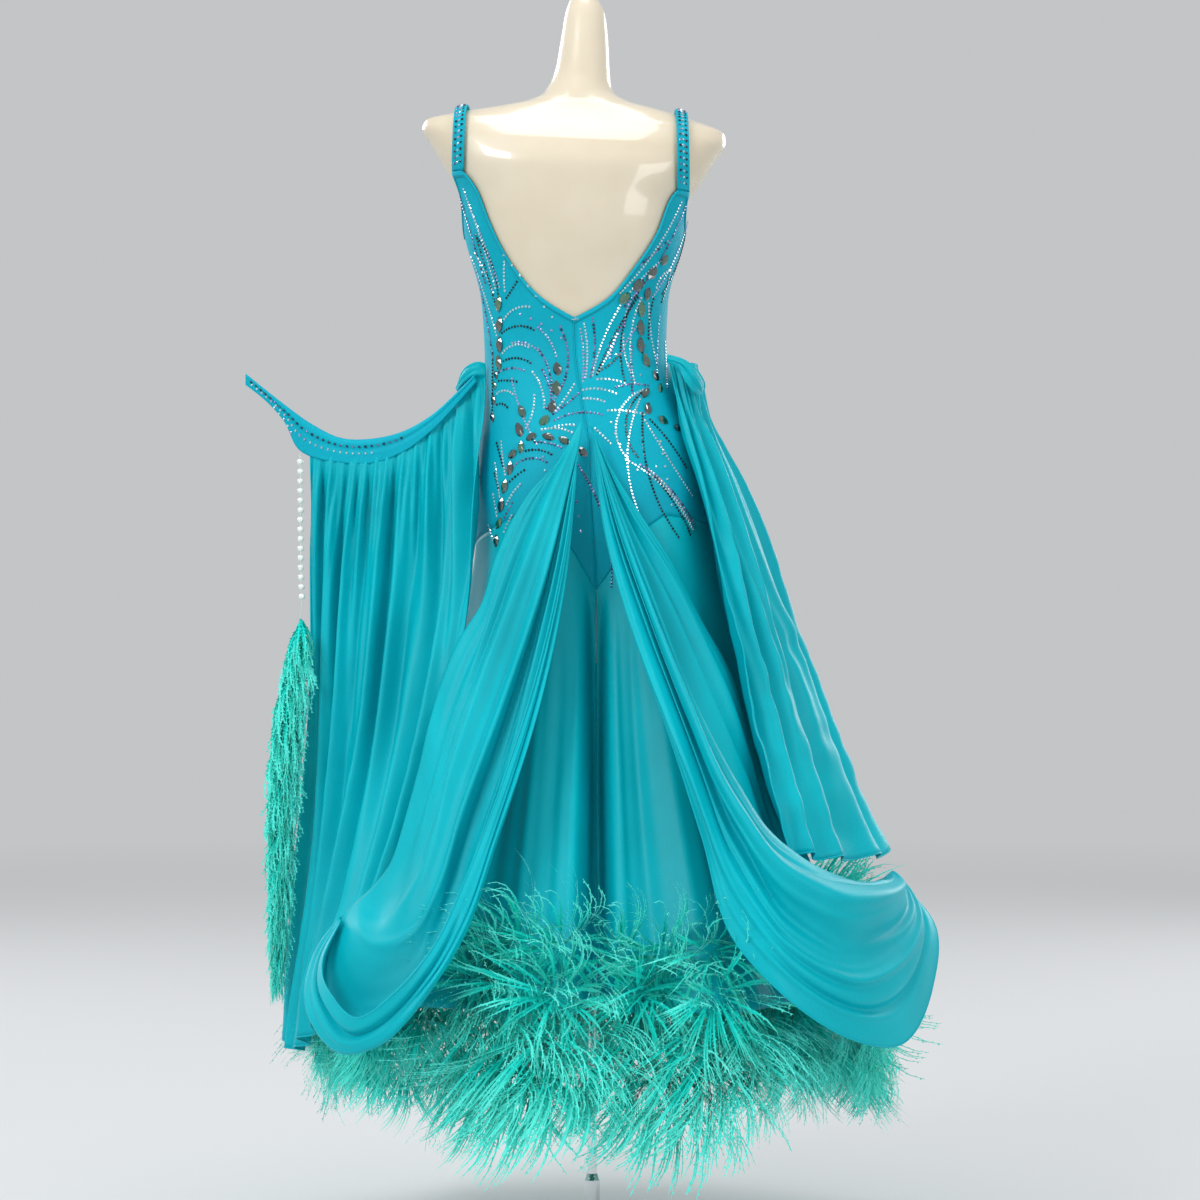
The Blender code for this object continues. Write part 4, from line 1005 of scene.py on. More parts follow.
def skirt(degrees, share, out=0.0, slit=1.0, creases=1.0):
    """Places on the skirt, from the hip seam (share 0) to the hem (share 1) and past it."""
    top = figure(degrees, seam_height(degrees) + SEAM_LAP, CLEAR - LAP_INSIDE + out)
    turn = np.radians(degrees)
    spread = np.clip(share, 0, 1) ** FLARE_POWER + BELOW_HEM_SPREAD * np.maximum(share - 1, 0)
    hem_x = HEM_CENTRE_X + (HEM_HALF + out) * np.sin(turn)
    hem_y = -(HEM_HALF + out) * np.cos(turn)
    wave = FLARE_DEPTH * flares(degrees) * np.clip(share, 0, 1) ** 1.2
    groove = SLIT_DEPTH * slit * np.clip((share - 0.04) / 0.5, 0, 1) ** 0.8
    wave = wave - groove * np.exp(-(degrees / SLIT_WIDTH) ** 4)
    for middle, width, depth, start, stop in SKIRT_CREASES:
        fade = np.sin(np.pi * np.clip((share - start) / (stop - start), 0, 1)) ** 0.8
        wave = wave + creases * depth * fade * np.exp(-((degrees - middle) / width) ** 2)
    x = top[..., 0] + (hem_x - top[..., 0]) * spread + wave * np.sin(turn)
    y = top[..., 1] + (hem_y - top[..., 1]) * spread - wave * np.cos(turn)
    z = top[..., 2] + (HEM_HEIGHT - top[..., 2]) * share
    return np.stack([x, y, z], axis=-1)


def skirt_panel(name, start, stop, columns, rows=80):
    """One skirt panel over the given degrees, closer columns in the centre fold."""
    degrees = np.linspace(start, stop, columns)
    if 0 in (start, stop):
        inner, outer = (0.12, stop) if start == 0 else (-0.12, start)
        degrees = inner + (outer - inner) * np.linspace(0, 1, columns) ** 1.5
        degrees = degrees if start == 0 else degrees[::-1]
    degrees = around_figure(degrees)
    grid = np.stack([skirt(degrees, np.full(columns, share)) for share in np.linspace(0, 1, rows)])
    return cloth(name, grid, SATIN)


skirt_right = skirt_panel("skirt_back_right_satin", 0, 89.9, 110)
skirt_left = skirt_panel("skirt_back_left_satin", -89.9, 0, 110)
skirt_front = skirt_panel("skirt_front_satin", 90.1, 269.9, 180)
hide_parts("skirt_back_right")
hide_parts("skirt_back_left")
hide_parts("skirt_front")

# %% [markdown]
# ## Swags, floats, band and flaps
# The swags are lengths of satin gathered at the foot of the zip, falling in a loose pouch and
# caught up again at the side. The floats are gathered at the waist and hang free. Each is a table
# of rows, every row one line of the cloth, with the main folds and finer creases pressed in as
# listed: where they lie across it, how far they drift, how wide and deep they are, and where along
# the cloth they begin and end.

# %% Tables of the swags
RIGHT_SWAG = [
    # row, places along it (x, y, z)
    (0.00, ((0.001, -0.124, 1.035), (0.014, -0.150, 0.918), (0.050, -0.195, 0.782),
            (0.091, -0.250, 0.665), (0.129, -0.305, 0.546), (0.166, -0.350, 0.428),
            (0.219, -0.365, 0.370), (0.299, -0.320, 0.312), (0.374, -0.240, 0.295),
            (0.416, -0.160, 0.354), (0.424, -0.105, 0.421), (0.385, -0.070, 0.472))),
    (0.30, ((0.000, -0.125, 1.035), (0.025, -0.160, 0.918), (0.070, -0.215, 0.782),
            (0.117, -0.270, 0.657), (0.162, -0.320, 0.543), (0.230, -0.350, 0.442),
            (0.301, -0.320, 0.398), (0.361, -0.245, 0.406), (0.394, -0.160, 0.439),
            (0.388, -0.090, 0.468), (0.379, -0.055, 0.480))),
    (0.62, ((-0.001, -0.126, 1.036), (0.037, -0.158, 0.918), (0.082, -0.205, 0.799),
            (0.129, -0.252, 0.680), (0.175, -0.290, 0.594), (0.216, -0.305, 0.539),
            (0.262, -0.300, 0.510), (0.312, -0.255, 0.492), (0.356, -0.170, 0.482),
            (0.375, -0.085, 0.479), (0.376, -0.045, 0.482))),
    (0.82, ((-0.002, -0.125, 1.038), (0.045, -0.138, 0.919), (0.093, -0.160, 0.823),
            (0.140, -0.178, 0.714), (0.180, -0.184, 0.620), (0.220, -0.172, 0.530),
            (0.275, -0.168, 0.466), (0.325, -0.130, 0.462), (0.352, -0.085, 0.466),
            (0.364, -0.055, 0.471), (0.368, -0.030, 0.473))),
    (1.00, ((-0.004, -0.124, 1.041), (0.025, -0.129, 0.983), (0.060, -0.131, 0.928),
            (0.097, -0.128, 0.872), (0.135, -0.124, 0.798), (0.172, -0.117, 0.731),
            (0.200, -0.118, 0.639), (0.224, -0.138, 0.564), (0.265, -0.145, 0.485),
            (0.325, -0.095, 0.466), (0.360, -0.025, 0.469))),
]
LEFT_SWAG = [
    # row, places along it (x, y, z)
    (0.00, ((-0.016, -0.125, 1.022), (-0.031, -0.165, 0.896), (-0.068, -0.230, 0.727),
            (-0.108, -0.290, 0.599), (-0.146, -0.345, 0.499), (-0.184, -0.390, 0.421),
            (-0.224, -0.415, 0.376), (-0.264, -0.405, 0.346), (-0.303, -0.355, 0.369),
            (-0.317, -0.290, 0.398), (-0.300, -0.235, 0.440))),
    (0.25, ((-0.015, -0.126, 1.026), (-0.038, -0.180, 0.823), (-0.071, -0.245, 0.673),
            (-0.113, -0.315, 0.539), (-0.146, -0.365, 0.442), (-0.184, -0.395, 0.380),
            (-0.241, -0.395, 0.318), (-0.284, -0.375, 0.306), (-0.325, -0.325, 0.345),
            (-0.325, -0.265, 0.400), (-0.302, -0.225, 0.442))),
    (0.48, ((-0.013, -0.127, 1.031), (-0.048, -0.170, 0.823), (-0.086, -0.220, 0.671),
            (-0.130, -0.275, 0.536), (-0.163, -0.310, 0.440), (-0.200, -0.330, 0.380),
            (-0.248, -0.325, 0.340), (-0.288, -0.300, 0.342), (-0.308, -0.265, 0.385),
            (-0.306, -0.235, 0.422), (-0.297, -0.215, 0.446))),
    (0.68, ((-0.012, -0.127, 1.036), (-0.063, -0.172, 0.847), (-0.110, -0.220, 0.703),
            (-0.155, -0.268, 0.574), (-0.182, -0.298, 0.481), (-0.204, -0.308, 0.440),
            (-0.231, -0.305, 0.422), (-0.258, -0.285, 0.420), (-0.276, -0.255, 0.434),
            (-0.282, -0.225, 0.449), (-0.281, -0.205, 0.462))),
    (0.86, ((-0.012, -0.126, 1.041), (-0.070, -0.144, 0.933), (-0.120, -0.172, 0.799),
            (-0.161, -0.205, 0.678), (-0.188, -0.235, 0.582), (-0.212, -0.250, 0.509),
            (-0.230, -0.245, 0.472), (-0.245, -0.232, 0.462), (-0.254, -0.215, 0.470),
            (-0.258, -0.200, 0.484))),
    (1.00, ((-0.012, -0.125, 1.046), (-0.041, -0.131, 0.993), (-0.076, -0.131, 0.955),
            (-0.117, -0.130, 0.878), (-0.136, -0.137, 0.818), (-0.163, -0.147, 0.774),
            (-0.181, -0.155, 0.732), (-0.197, -0.163, 0.677), (-0.209, -0.175, 0.621),
            (-0.226, -0.188, 0.557), (-0.240, -0.195, 0.508))),
]
RIGHT_SWAG_FOLDS = [
    # across, drift, width, depth, from, to
    (0.14, 0, 0.050, 0.012, 0.05, 0.55), (0.36, 0, 0.045, -0.018, 0.03, 0.95),
    (0.23, 0.04, 0.020, -0.010, 0.06, 0.90), (0.66, -0.03, 0.022, -0.010, 0.05, 0.85),
    (0.12, 0.02, 0.022, -0.012, 0.60, 1.00), (0.24, 0.02, 0.024, 0.012, 0.62, 1.00),
    (0.50, 0, 0.040, 0.014, 0.05, 1.00), (0.74, 0, 0.030, -0.018, 0.02, 0.80),
    (0.90, 0, 0.030, 0.010, 0.03, 0.70),
    (0.05, 0.02, 0.014, 0.003, 0.03, 0.45), (0.10, 0.04, 0.018, -0.004, 0.05, 0.70),
    (0.20, -0.03, 0.013, 0.004, 0.02, 0.60), (0.26, 0.05, 0.018, -0.006, 0.10, 0.85),
    (0.31, -0.02, 0.012, 0.004, 0.03, 0.50), (0.42, 0.03, 0.016, 0.005, 0.05, 0.90),
    (0.46, -0.04, 0.012, -0.004, 0.02, 0.60), (0.57, 0.03, 0.018, -0.006, 0.15, 0.95),
    (0.62, -0.03, 0.014, 0.005, 0.02, 0.75), (0.68, 0.02, 0.012, -0.003, 0.05, 0.50),
    (0.79, 0.03, 0.014, 0.005, 0.03, 0.65), (0.85, -0.02, 0.012, -0.004, 0.04, 0.60),
    (0.95, 0.02, 0.012, 0.003, 0.03, 0.60), (0.17, 0.10, 0.020, -0.006, 0.45, 1.00),
    (0.08, 0.06, 0.016, 0.006, 0.50, 0.98), (0.40, -0.10, 0.018, 0.005, 0.55, 1.00),
]
LEFT_SWAG_FOLDS = [
    # across, drift, width, depth, from, to
    (0.36, 0, 0.045, -0.016, 0.03, 0.60), (0.58, 0, 0.040, 0.014, 0.04, 0.75),
    (0.22, 0.03, 0.020, -0.010, 0.06, 0.90), (0.47, -0.02, 0.020, -0.009, 0.05, 0.85),
    (0.10, 0.02, 0.022, -0.011, 0.60, 1.00), (0.24, 0.02, 0.024, 0.011, 0.62, 1.00),
    (0.78, 0, 0.030, -0.014, 0.03, 0.90), (0.93, 0, 0.025, 0.008, 0.05, 0.95),
    (0.06, 0.02, 0.014, 0.003, 0.03, 0.55), (0.13, 0.05, 0.018, -0.005, 0.05, 0.80),
    (0.20, -0.03, 0.014, 0.005, 0.03, 0.65), (0.28, 0.04, 0.018, 0.005, 0.08, 0.90),
    (0.42, -0.03, 0.014, 0.005, 0.02, 0.55), (0.49, 0.02, 0.016, -0.006, 0.10, 0.85),
    (0.54, -0.03, 0.012, 0.004, 0.02, 0.60), (0.65, 0.03, 0.016, -0.006, 0.12, 0.95),
    (0.71, -0.02, 0.012, 0.004, 0.03, 0.70), (0.84, 0.03, 0.014, 0.005, 0.05, 0.80),
    (0.89, -0.02, 0.010, -0.004, 0.03, 0.60), (0.97, 0, 0.012, 0.003, 0.05, 0.90),
    (0.34, 0.08, 0.022, 0.006, 0.60, 1.00), (0.16, -0.06, 0.018, -0.005, 0.65, 1.00),
]

# %% Tables of the floats, band and flaps
RIGHT_FLOAT = [
    # row, places down it (x, y, z)
    (0.00, ((0.096, -0.052, 1.120), (0.114, -0.082, 1.036), (0.131, -0.100, 0.973),
            (0.149, -0.120, 0.885), (0.168, -0.138, 0.786), (0.190, -0.165, 0.675),
            (0.211, -0.203, 0.588), (0.229, -0.218, 0.524))),
    (0.28, ((0.118, -0.036, 1.122), (0.134, -0.058, 1.036), (0.158, -0.072, 0.965),
            (0.190, -0.082, 0.870), (0.220, -0.092, 0.770), (0.250, -0.105, 0.660),
            (0.276, -0.125, 0.570), (0.295, -0.142, 0.506))),
    (0.55, ((0.132, 0.000, 1.122), (0.149, 0.008, 1.032), (0.182, 0.015, 0.970),
            (0.240, 0.022, 0.823), (0.305, 0.030, 0.656), (0.330, 0.032, 0.592),
            (0.352, 0.034, 0.545), (0.377, 0.034, 0.500))),
    (0.80, ((0.122, 0.045, 1.120), (0.142, 0.075, 1.030), (0.172, 0.100, 0.950),
            (0.215, 0.122, 0.800), (0.255, 0.150, 0.670), (0.285, 0.172, 0.570),
            (0.305, 0.186, 0.506))),
    (1.00, ((0.104, 0.072, 1.118), (0.120, 0.110, 1.030), (0.138, 0.140, 0.950),
            (0.160, 0.175, 0.800), (0.182, 0.210, 0.670), (0.200, 0.240, 0.570),
            (0.212, 0.262, 0.515))),
]
LEFT_FLOAT = [
    # row, places down it (x, y, z)
    (0.00, ((-0.357, -0.004, 1.000), (-0.357, -0.006, 0.874), (-0.357, -0.010, 0.646),
            (-0.370, -0.014, 0.510), (-0.380, -0.018, 0.369), (-0.384, -0.022, 0.268))),
    (0.20, ((-0.316, -0.008, 0.991), (-0.326, -0.020, 0.823), (-0.332, -0.040, 0.621),
            (-0.346, -0.060, 0.446), (-0.362, -0.075, 0.320), (-0.368, -0.080, 0.264))),
    (0.42, ((-0.270, -0.011, 0.989), (-0.280, -0.032, 0.823), (-0.296, -0.070, 0.622),
            (-0.322, -0.110, 0.448), (-0.345, -0.135, 0.340), (-0.352, -0.140, 0.285))),
    (0.62, ((-0.222, -0.012, 1.020), (-0.232, -0.045, 0.823), (-0.256, -0.095, 0.622),
            (-0.290, -0.150, 0.470), (-0.318, -0.180, 0.375), (-0.328, -0.190, 0.320))),
    (0.82, ((-0.180, -0.014, 1.050), (-0.186, -0.066, 0.823), (-0.220, -0.125, 0.622),
            (-0.252, -0.172, 0.500), (-0.278, -0.200, 0.425), (-0.290, -0.210, 0.385))),
    (1.00, ((-0.134, -0.030, 1.097), (-0.133, -0.056, 1.040), (-0.136, -0.077, 0.975),
            (-0.158, -0.112, 0.772), (-0.199, -0.142, 0.622), (-0.226, -0.170, 0.530),
            (-0.243, -0.180, 0.472))),
]
LEFT_BAND = [
    # row, places along it (x, y, z)
    (0.00, ((-0.440, 0.000, 1.110), (-0.419, 0.000, 1.093), (-0.391, -0.001, 1.071),
            (-0.356, -0.003, 1.046), (-0.318, -0.006, 1.028), (-0.279, -0.009, 1.027),
            (-0.240, -0.012, 1.036), (-0.208, -0.017, 1.053), (-0.169, -0.028, 1.086),
            (-0.148, -0.037, 1.106))),
    (1.00, ((-0.440, 0.000, 1.096), (-0.419, 0.000, 1.080), (-0.391, -0.001, 1.050),
            (-0.372, -0.002, 1.014), (-0.318, -0.006, 0.997), (-0.275, -0.009, 0.997),
            (-0.238, -0.012, 1.011), (-0.205, -0.017, 1.035), (-0.165, -0.028, 1.076),
            (-0.145, -0.037, 1.098))),
]
LEFT_FLAP = [
    # row, places round the folded flap (x, y, z)
    (0.00, ((-0.134, -0.026, 1.100), (-0.143, -0.024, 1.100), (-0.152, -0.021, 1.098),
            (-0.160, -0.018, 1.092), (-0.166, -0.016, 1.088), (-0.170, -0.014, 1.086))),
    (0.50, ((-0.134, -0.030, 1.111), (-0.144, -0.034, 1.112), (-0.154, -0.032, 1.109),
            (-0.162, -0.027, 1.102), (-0.168, -0.021, 1.094), (-0.171, -0.015, 1.088))),
    (1.00, ((-0.135, -0.027, 1.120), (-0.142, -0.030, 1.122), (-0.154, -0.026, 1.119),
            (-0.163, -0.018, 1.112), (-0.169, -0.013, 1.098), (-0.172, -0.011, 1.090))),
]
RIGHT_FLAP = [
    # row, places round the folded flap (x, y, z)
    (0.00, ((0.093, -0.063, 1.120), (0.107, -0.072, 1.113), (0.115, -0.078, 1.097),
            (0.125, -0.072, 1.084), (0.134, -0.058, 1.079))),
    (0.50, ((0.094, -0.067, 1.125), (0.114, -0.077, 1.116), (0.126, -0.077, 1.102),
            (0.134, -0.066, 1.090), (0.138, -0.050, 1.082))),
    (1.00, ((0.095, -0.060, 1.129), (0.115, -0.067, 1.122), (0.135, -0.058, 1.105),
            (0.141, -0.046, 1.092), (0.139, -0.038, 1.084))),
]
FLOAT_FOLDS = 7
FLOAT_FOLD_DEPTH = 0.009


# %% Hanging cloth
def hanging(rows, along, across):
    """A grid of places, indexed [along, across], from a table of rows."""
    lines = np.stack([through(places, along) for _, places in rows])
    knots = np.array([row[0] for row in rows])
    return np.stack([through(lines[:, i], across, knots) for i in range(len(along))])


def pressed(along, across, folds):
    """The lift of the folds and creases over a grid."""
    lift = np.zeros((len(along), len(across)))
    for middle, drift, width, depth, start, stop in folds:
        fade = np.sin(np.pi * np.clip((along - start) / (stop - start), 0, 1)) ** 0.7
        centre = middle + drift * np.clip((along - start) / (stop - start), 0, 1)
        lift += depth * fade[:, None] * np.exp(-((across[None, :] - centre[:, None]) / width) ** 2)
    return lift


def crumpled(along, across, length, width, depth, seed):
    """Small uneven ripples: cells of the given length and width, in shares of the cloth."""
    return depth * np.array([[noise.noise(Vector((a / length, c / width, seed)))
                              for c in across] for a in along])


def pleated(along, across, pleats):
    """Pleats that wander: a row is (count, depth, phase, from, to, wander)."""
    lift = np.zeros((len(along), len(across)))
    for count, depth, phase, start, stop, wander in pleats:
        drift = np.array([[noise.noise(Vector((1.6 * a, 2.5 * c, phase))) for c in across]
                          for a in along])
        fade = np.clip((along - start) / 0.06, 0, 1) * np.clip((stop - along) / (0.6 * stop), 0, 1)
        wave = np.cos(2 * np.pi * (count * (across[None, :] + wander * drift) + phase))
        lift += depth * fade[:, None] * wave
    return lift


# %% Swags
def swag(name, node_name, rows, folds, seed):
    """A swag with its folds, a little crumpled where it is gathered."""
    along, across = np.linspace(0, 1, 130), np.linspace(0, 1, 110)
    grid = hanging(rows, along, across)
    lift = pressed(along, across, folds)
    lift += crumpled(along, across, 0.30, 0.06, 0.0026, seed) * np.sin(np.pi * along)[:, None]
    placed = grid + normals_of(grid) * lift[..., None]
    made = cloth(name, placed, SATIN)
    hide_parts(node_name)
    return made, placed


drape_right, drape_right_grid = swag("drape_right_satin", "drape_right", RIGHT_SWAG,
                                     RIGHT_SWAG_FOLDS, 3.1)
drape_left, drape_left_grid = swag("drape_left_satin", "drape_left", LEFT_SWAG,
                                   LEFT_SWAG_FOLDS, 7.7)

# %% Floats
FLOAT_GATHERS = {
    "left": ((29, 0.0024, 0.10, -0.1, 0.22, 0.06), (13, 0.0042, 0.45, -0.1, 0.70, 0.09),
             (9, 0.0052, 0.80, 0.02, 1.40, 0.12)),
    "right": ((27, 0.0016, 0.30, -0.1, 0.45, 0.05), (15, 0.0032, 0.15, -0.1, 0.90, 0.08),
              (11, 0.0040, 0.60, 0.10, 1.40, 0.10)),
}


def float_cloth(name, node_name, rows, gathers, crumple, seed, edge=None):
    """A gathered float: broad pleats, finer gathers that die out, and small ripples."""
    along, across = np.linspace(0, 1, 100), np.linspace(0, 1, 150)
    grid = hanging(rows, along, across)
    if edge is not None:
        top = np.interp(grid[0, :, 0], edge[:, 0], edge[:, 2]) + TUCKED_IN
        grid[..., 2] += np.clip(1 - along / 0.2, 0, 1)[:, None] * (top - grid[0, :, 2])[None, :]
    broad = np.clip(along / 0.15, 0.3, 1)[:, None] * np.cos(
        2 * np.pi * FLOAT_FOLDS * across)[None, :]
    lift = FLOAT_FOLD_DEPTH * broad + pleated(along, across, gathers)
    lift += crumpled(along, across, 0.045, 0.09, crumple, seed) * np.clip(
        (along - 0.25) / 0.3, 0, 1)[:, None]
    lift *= np.clip(along / 0.045, 0.28, 1)[:, None]
    placed = grid + normals_of(grid) * lift[..., None]
    made = cloth(name, placed, SATIN)
    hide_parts(node_name)
    return made, placed


TUCKED_IN = 0.006       # how far the gathered top of the left float goes up inside the band
band_along = np.linspace(0, 1, 110)
band_middle = hanging(LEFT_BAND, band_along, np.linspace(0, 1, 15))
float_left, float_left_grid = float_cloth("float_left_satin", "float_left", LEFT_FLOAT,
                                          FLOAT_GATHERS["left"], 0.0012, 2.2, band_middle[:, -1])
float_right, float_right_grid = float_cloth("float_right_satin", "float_right", RIGHT_FLOAT,
                                            FLOAT_GATHERS["right"], 0.0034, 5.5)

# %% [markdown]
# ## Arm band and hip flaps
# The band is a bias strip folded in half along its length: the fold is its rounded upper edge, and
# the gathered float is caught between its two lower edges. So it is one sheet that goes up over the
# fold and down behind. At each hip the top of the float is folded over into a small leaf.

# %% Band folded over the float's top
band_outward = normals_of(band_middle) * -np.sign(normals_of(band_middle)[..., 1:2])
down_face = np.concatenate([np.linspace(1, 0, 15), np.linspace(0, 1, 15)[1:]])
layer = np.concatenate([np.arange(14, -1, -1), np.arange(1, 15)])
hand = np.concatenate([np.full(15, 1.0), np.full(14, -1.0)])
band_half = 0.0042 * np.sqrt(np.clip(down_face / 0.22, 0, 1)) * (1 - 0.35 * down_face)
band_half = band_half - 0.0018 * np.exp(-((down_face - 0.40) / 0.10) ** 2)
narrow = np.clip(band_along / 0.08, 0.35, 1)
band_grid = band_middle[:, layer] + band_outward[:, layer] * (
    hand * band_half)[None, :, None] * narrow[:, None, None]
arm_band = cloth("arm_band_crepe", band_grid, CREPE)
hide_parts("arm_band_left")


# %% Folded flaps at the hips
FLAP_CREASES = [
    # across, drift, width, depth, from, to
    (0.30, 0.10, 0.09, -0.0022, 0.00, 0.95), (0.52, 0.05, 0.08, 0.0018, 0.05, 1.00),
    (0.74, -0.05, 0.07, -0.0016, 0.10, 0.90),
]
flaps, flap_edges = {}, {}
for side, rows in (("left", LEFT_FLAP), ("right", RIGHT_FLAP)):
    along, across = np.linspace(0, 1, 44), np.linspace(0, 1, 30)
    grid = hanging(rows, along, across)
    grid = grid + normals_of(grid) * pressed(along, across, FLAP_CREASES)[..., None]
    flaps[side] = cloth(f"hip_flap_{side}_satin", grid, SATIN)
    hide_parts(f"hip_flap_{side}")
    flap_edges[side] = swept(f"hip_flap_{side}_edge", [grid[:, -1]], 0.0015, SATIN, "satin", sides=8)

# %% Rolled hems on the free edges of the satin
rolled = swept("rolled_hems", [
    drape_right_grid[:, 0], drape_left_grid[:, 0], float_right_grid[-1], float_left_grid[-1],
    float_right_grid[:, 0], float_left_grid[:, 0], float_right_grid[:, -1],
], 0.0011, SATIN, "satin", sides=6)

# %% [markdown]
# ## Stones
# Flat-backed rhinestones are glued to the crepe in sprays of curved rows, with larger green
# navettes in leaning columns between them. A row is set down as a start on the gown's back, a
# heading, a length and how far it bends, and Geometry Nodes put faceted copies along it at an even
# pitch. The front carries the same sprays, mirrored by the figure's own turn.

# %% Places on the gown
STONE_OUT = CLEAR + 0.0007


def gown_at(degrees, z, out):
    """Places at a height on the bodice or, below its seam, on the skirt."""
    seam = figure(degrees, seam_height(degrees))[..., 2]
    level = np.array(z, float)
    for _ in range(3):
        level = level + z - figure(degrees, level)[..., 2]
    share = np.clip((seam - z) / (seam - HEM_HEIGHT), 0, 1)
    return np.where((share > 0)[..., None], skirt(degrees, share, out - CLEAR),
                    figure(degrees, level, out))


def stone_places(x, z, front=False):
    """Places for stones at the given distance across and height, and their outward directions."""
    x, z = np.asarray(x, float), np.asarray(z, float)
    near, far = np.full(x.shape, -88.0), np.full(x.shape, 88.0)
    for _ in range(18):
        middle = (near + far) / 2
        degrees = around_figure(180 - middle) if front else middle
        past = gown_at(degrees, z, STONE_OUT)[..., 0] > x
        near, far = np.where(past, near, middle), np.where(past, middle, far)
    places = gown_at(degrees, z, STONE_OUT)
    return places, unit(gown_at(degrees, z, STONE_OUT + 0.01) - places)


def gem(radius, sides, height, stretch=1.0):
    """A flat-backed faceted stone, Z outward, drawn out along X."""
    places, faces = [], []
    for share, level in ((0.90, 0.0), (1.0, 0.30), (0.55, 1.0)):
        for corner in range(sides):
            turn = 2 * math.pi * (corner + 0.5 * (share < 0.6)) / sides
            reach = radius * share
            point = (1 + 0.28 * (stretch > 1) * abs(math.cos(turn)) ** 6) * stretch
            places.append((reach * math.cos(turn) * point, reach * math.sin(turn), height * level))
    for ring in (0, sides):
        faces += [(ring + i, ring + (i + 1) % sides, ring + sides + (i + 1) % sides, ring + sides + i)
                  for i in range(sides)]
    return places, faces + [tuple(range(2 * sides, 3 * sides)), tuple(reversed(range(sides)))]


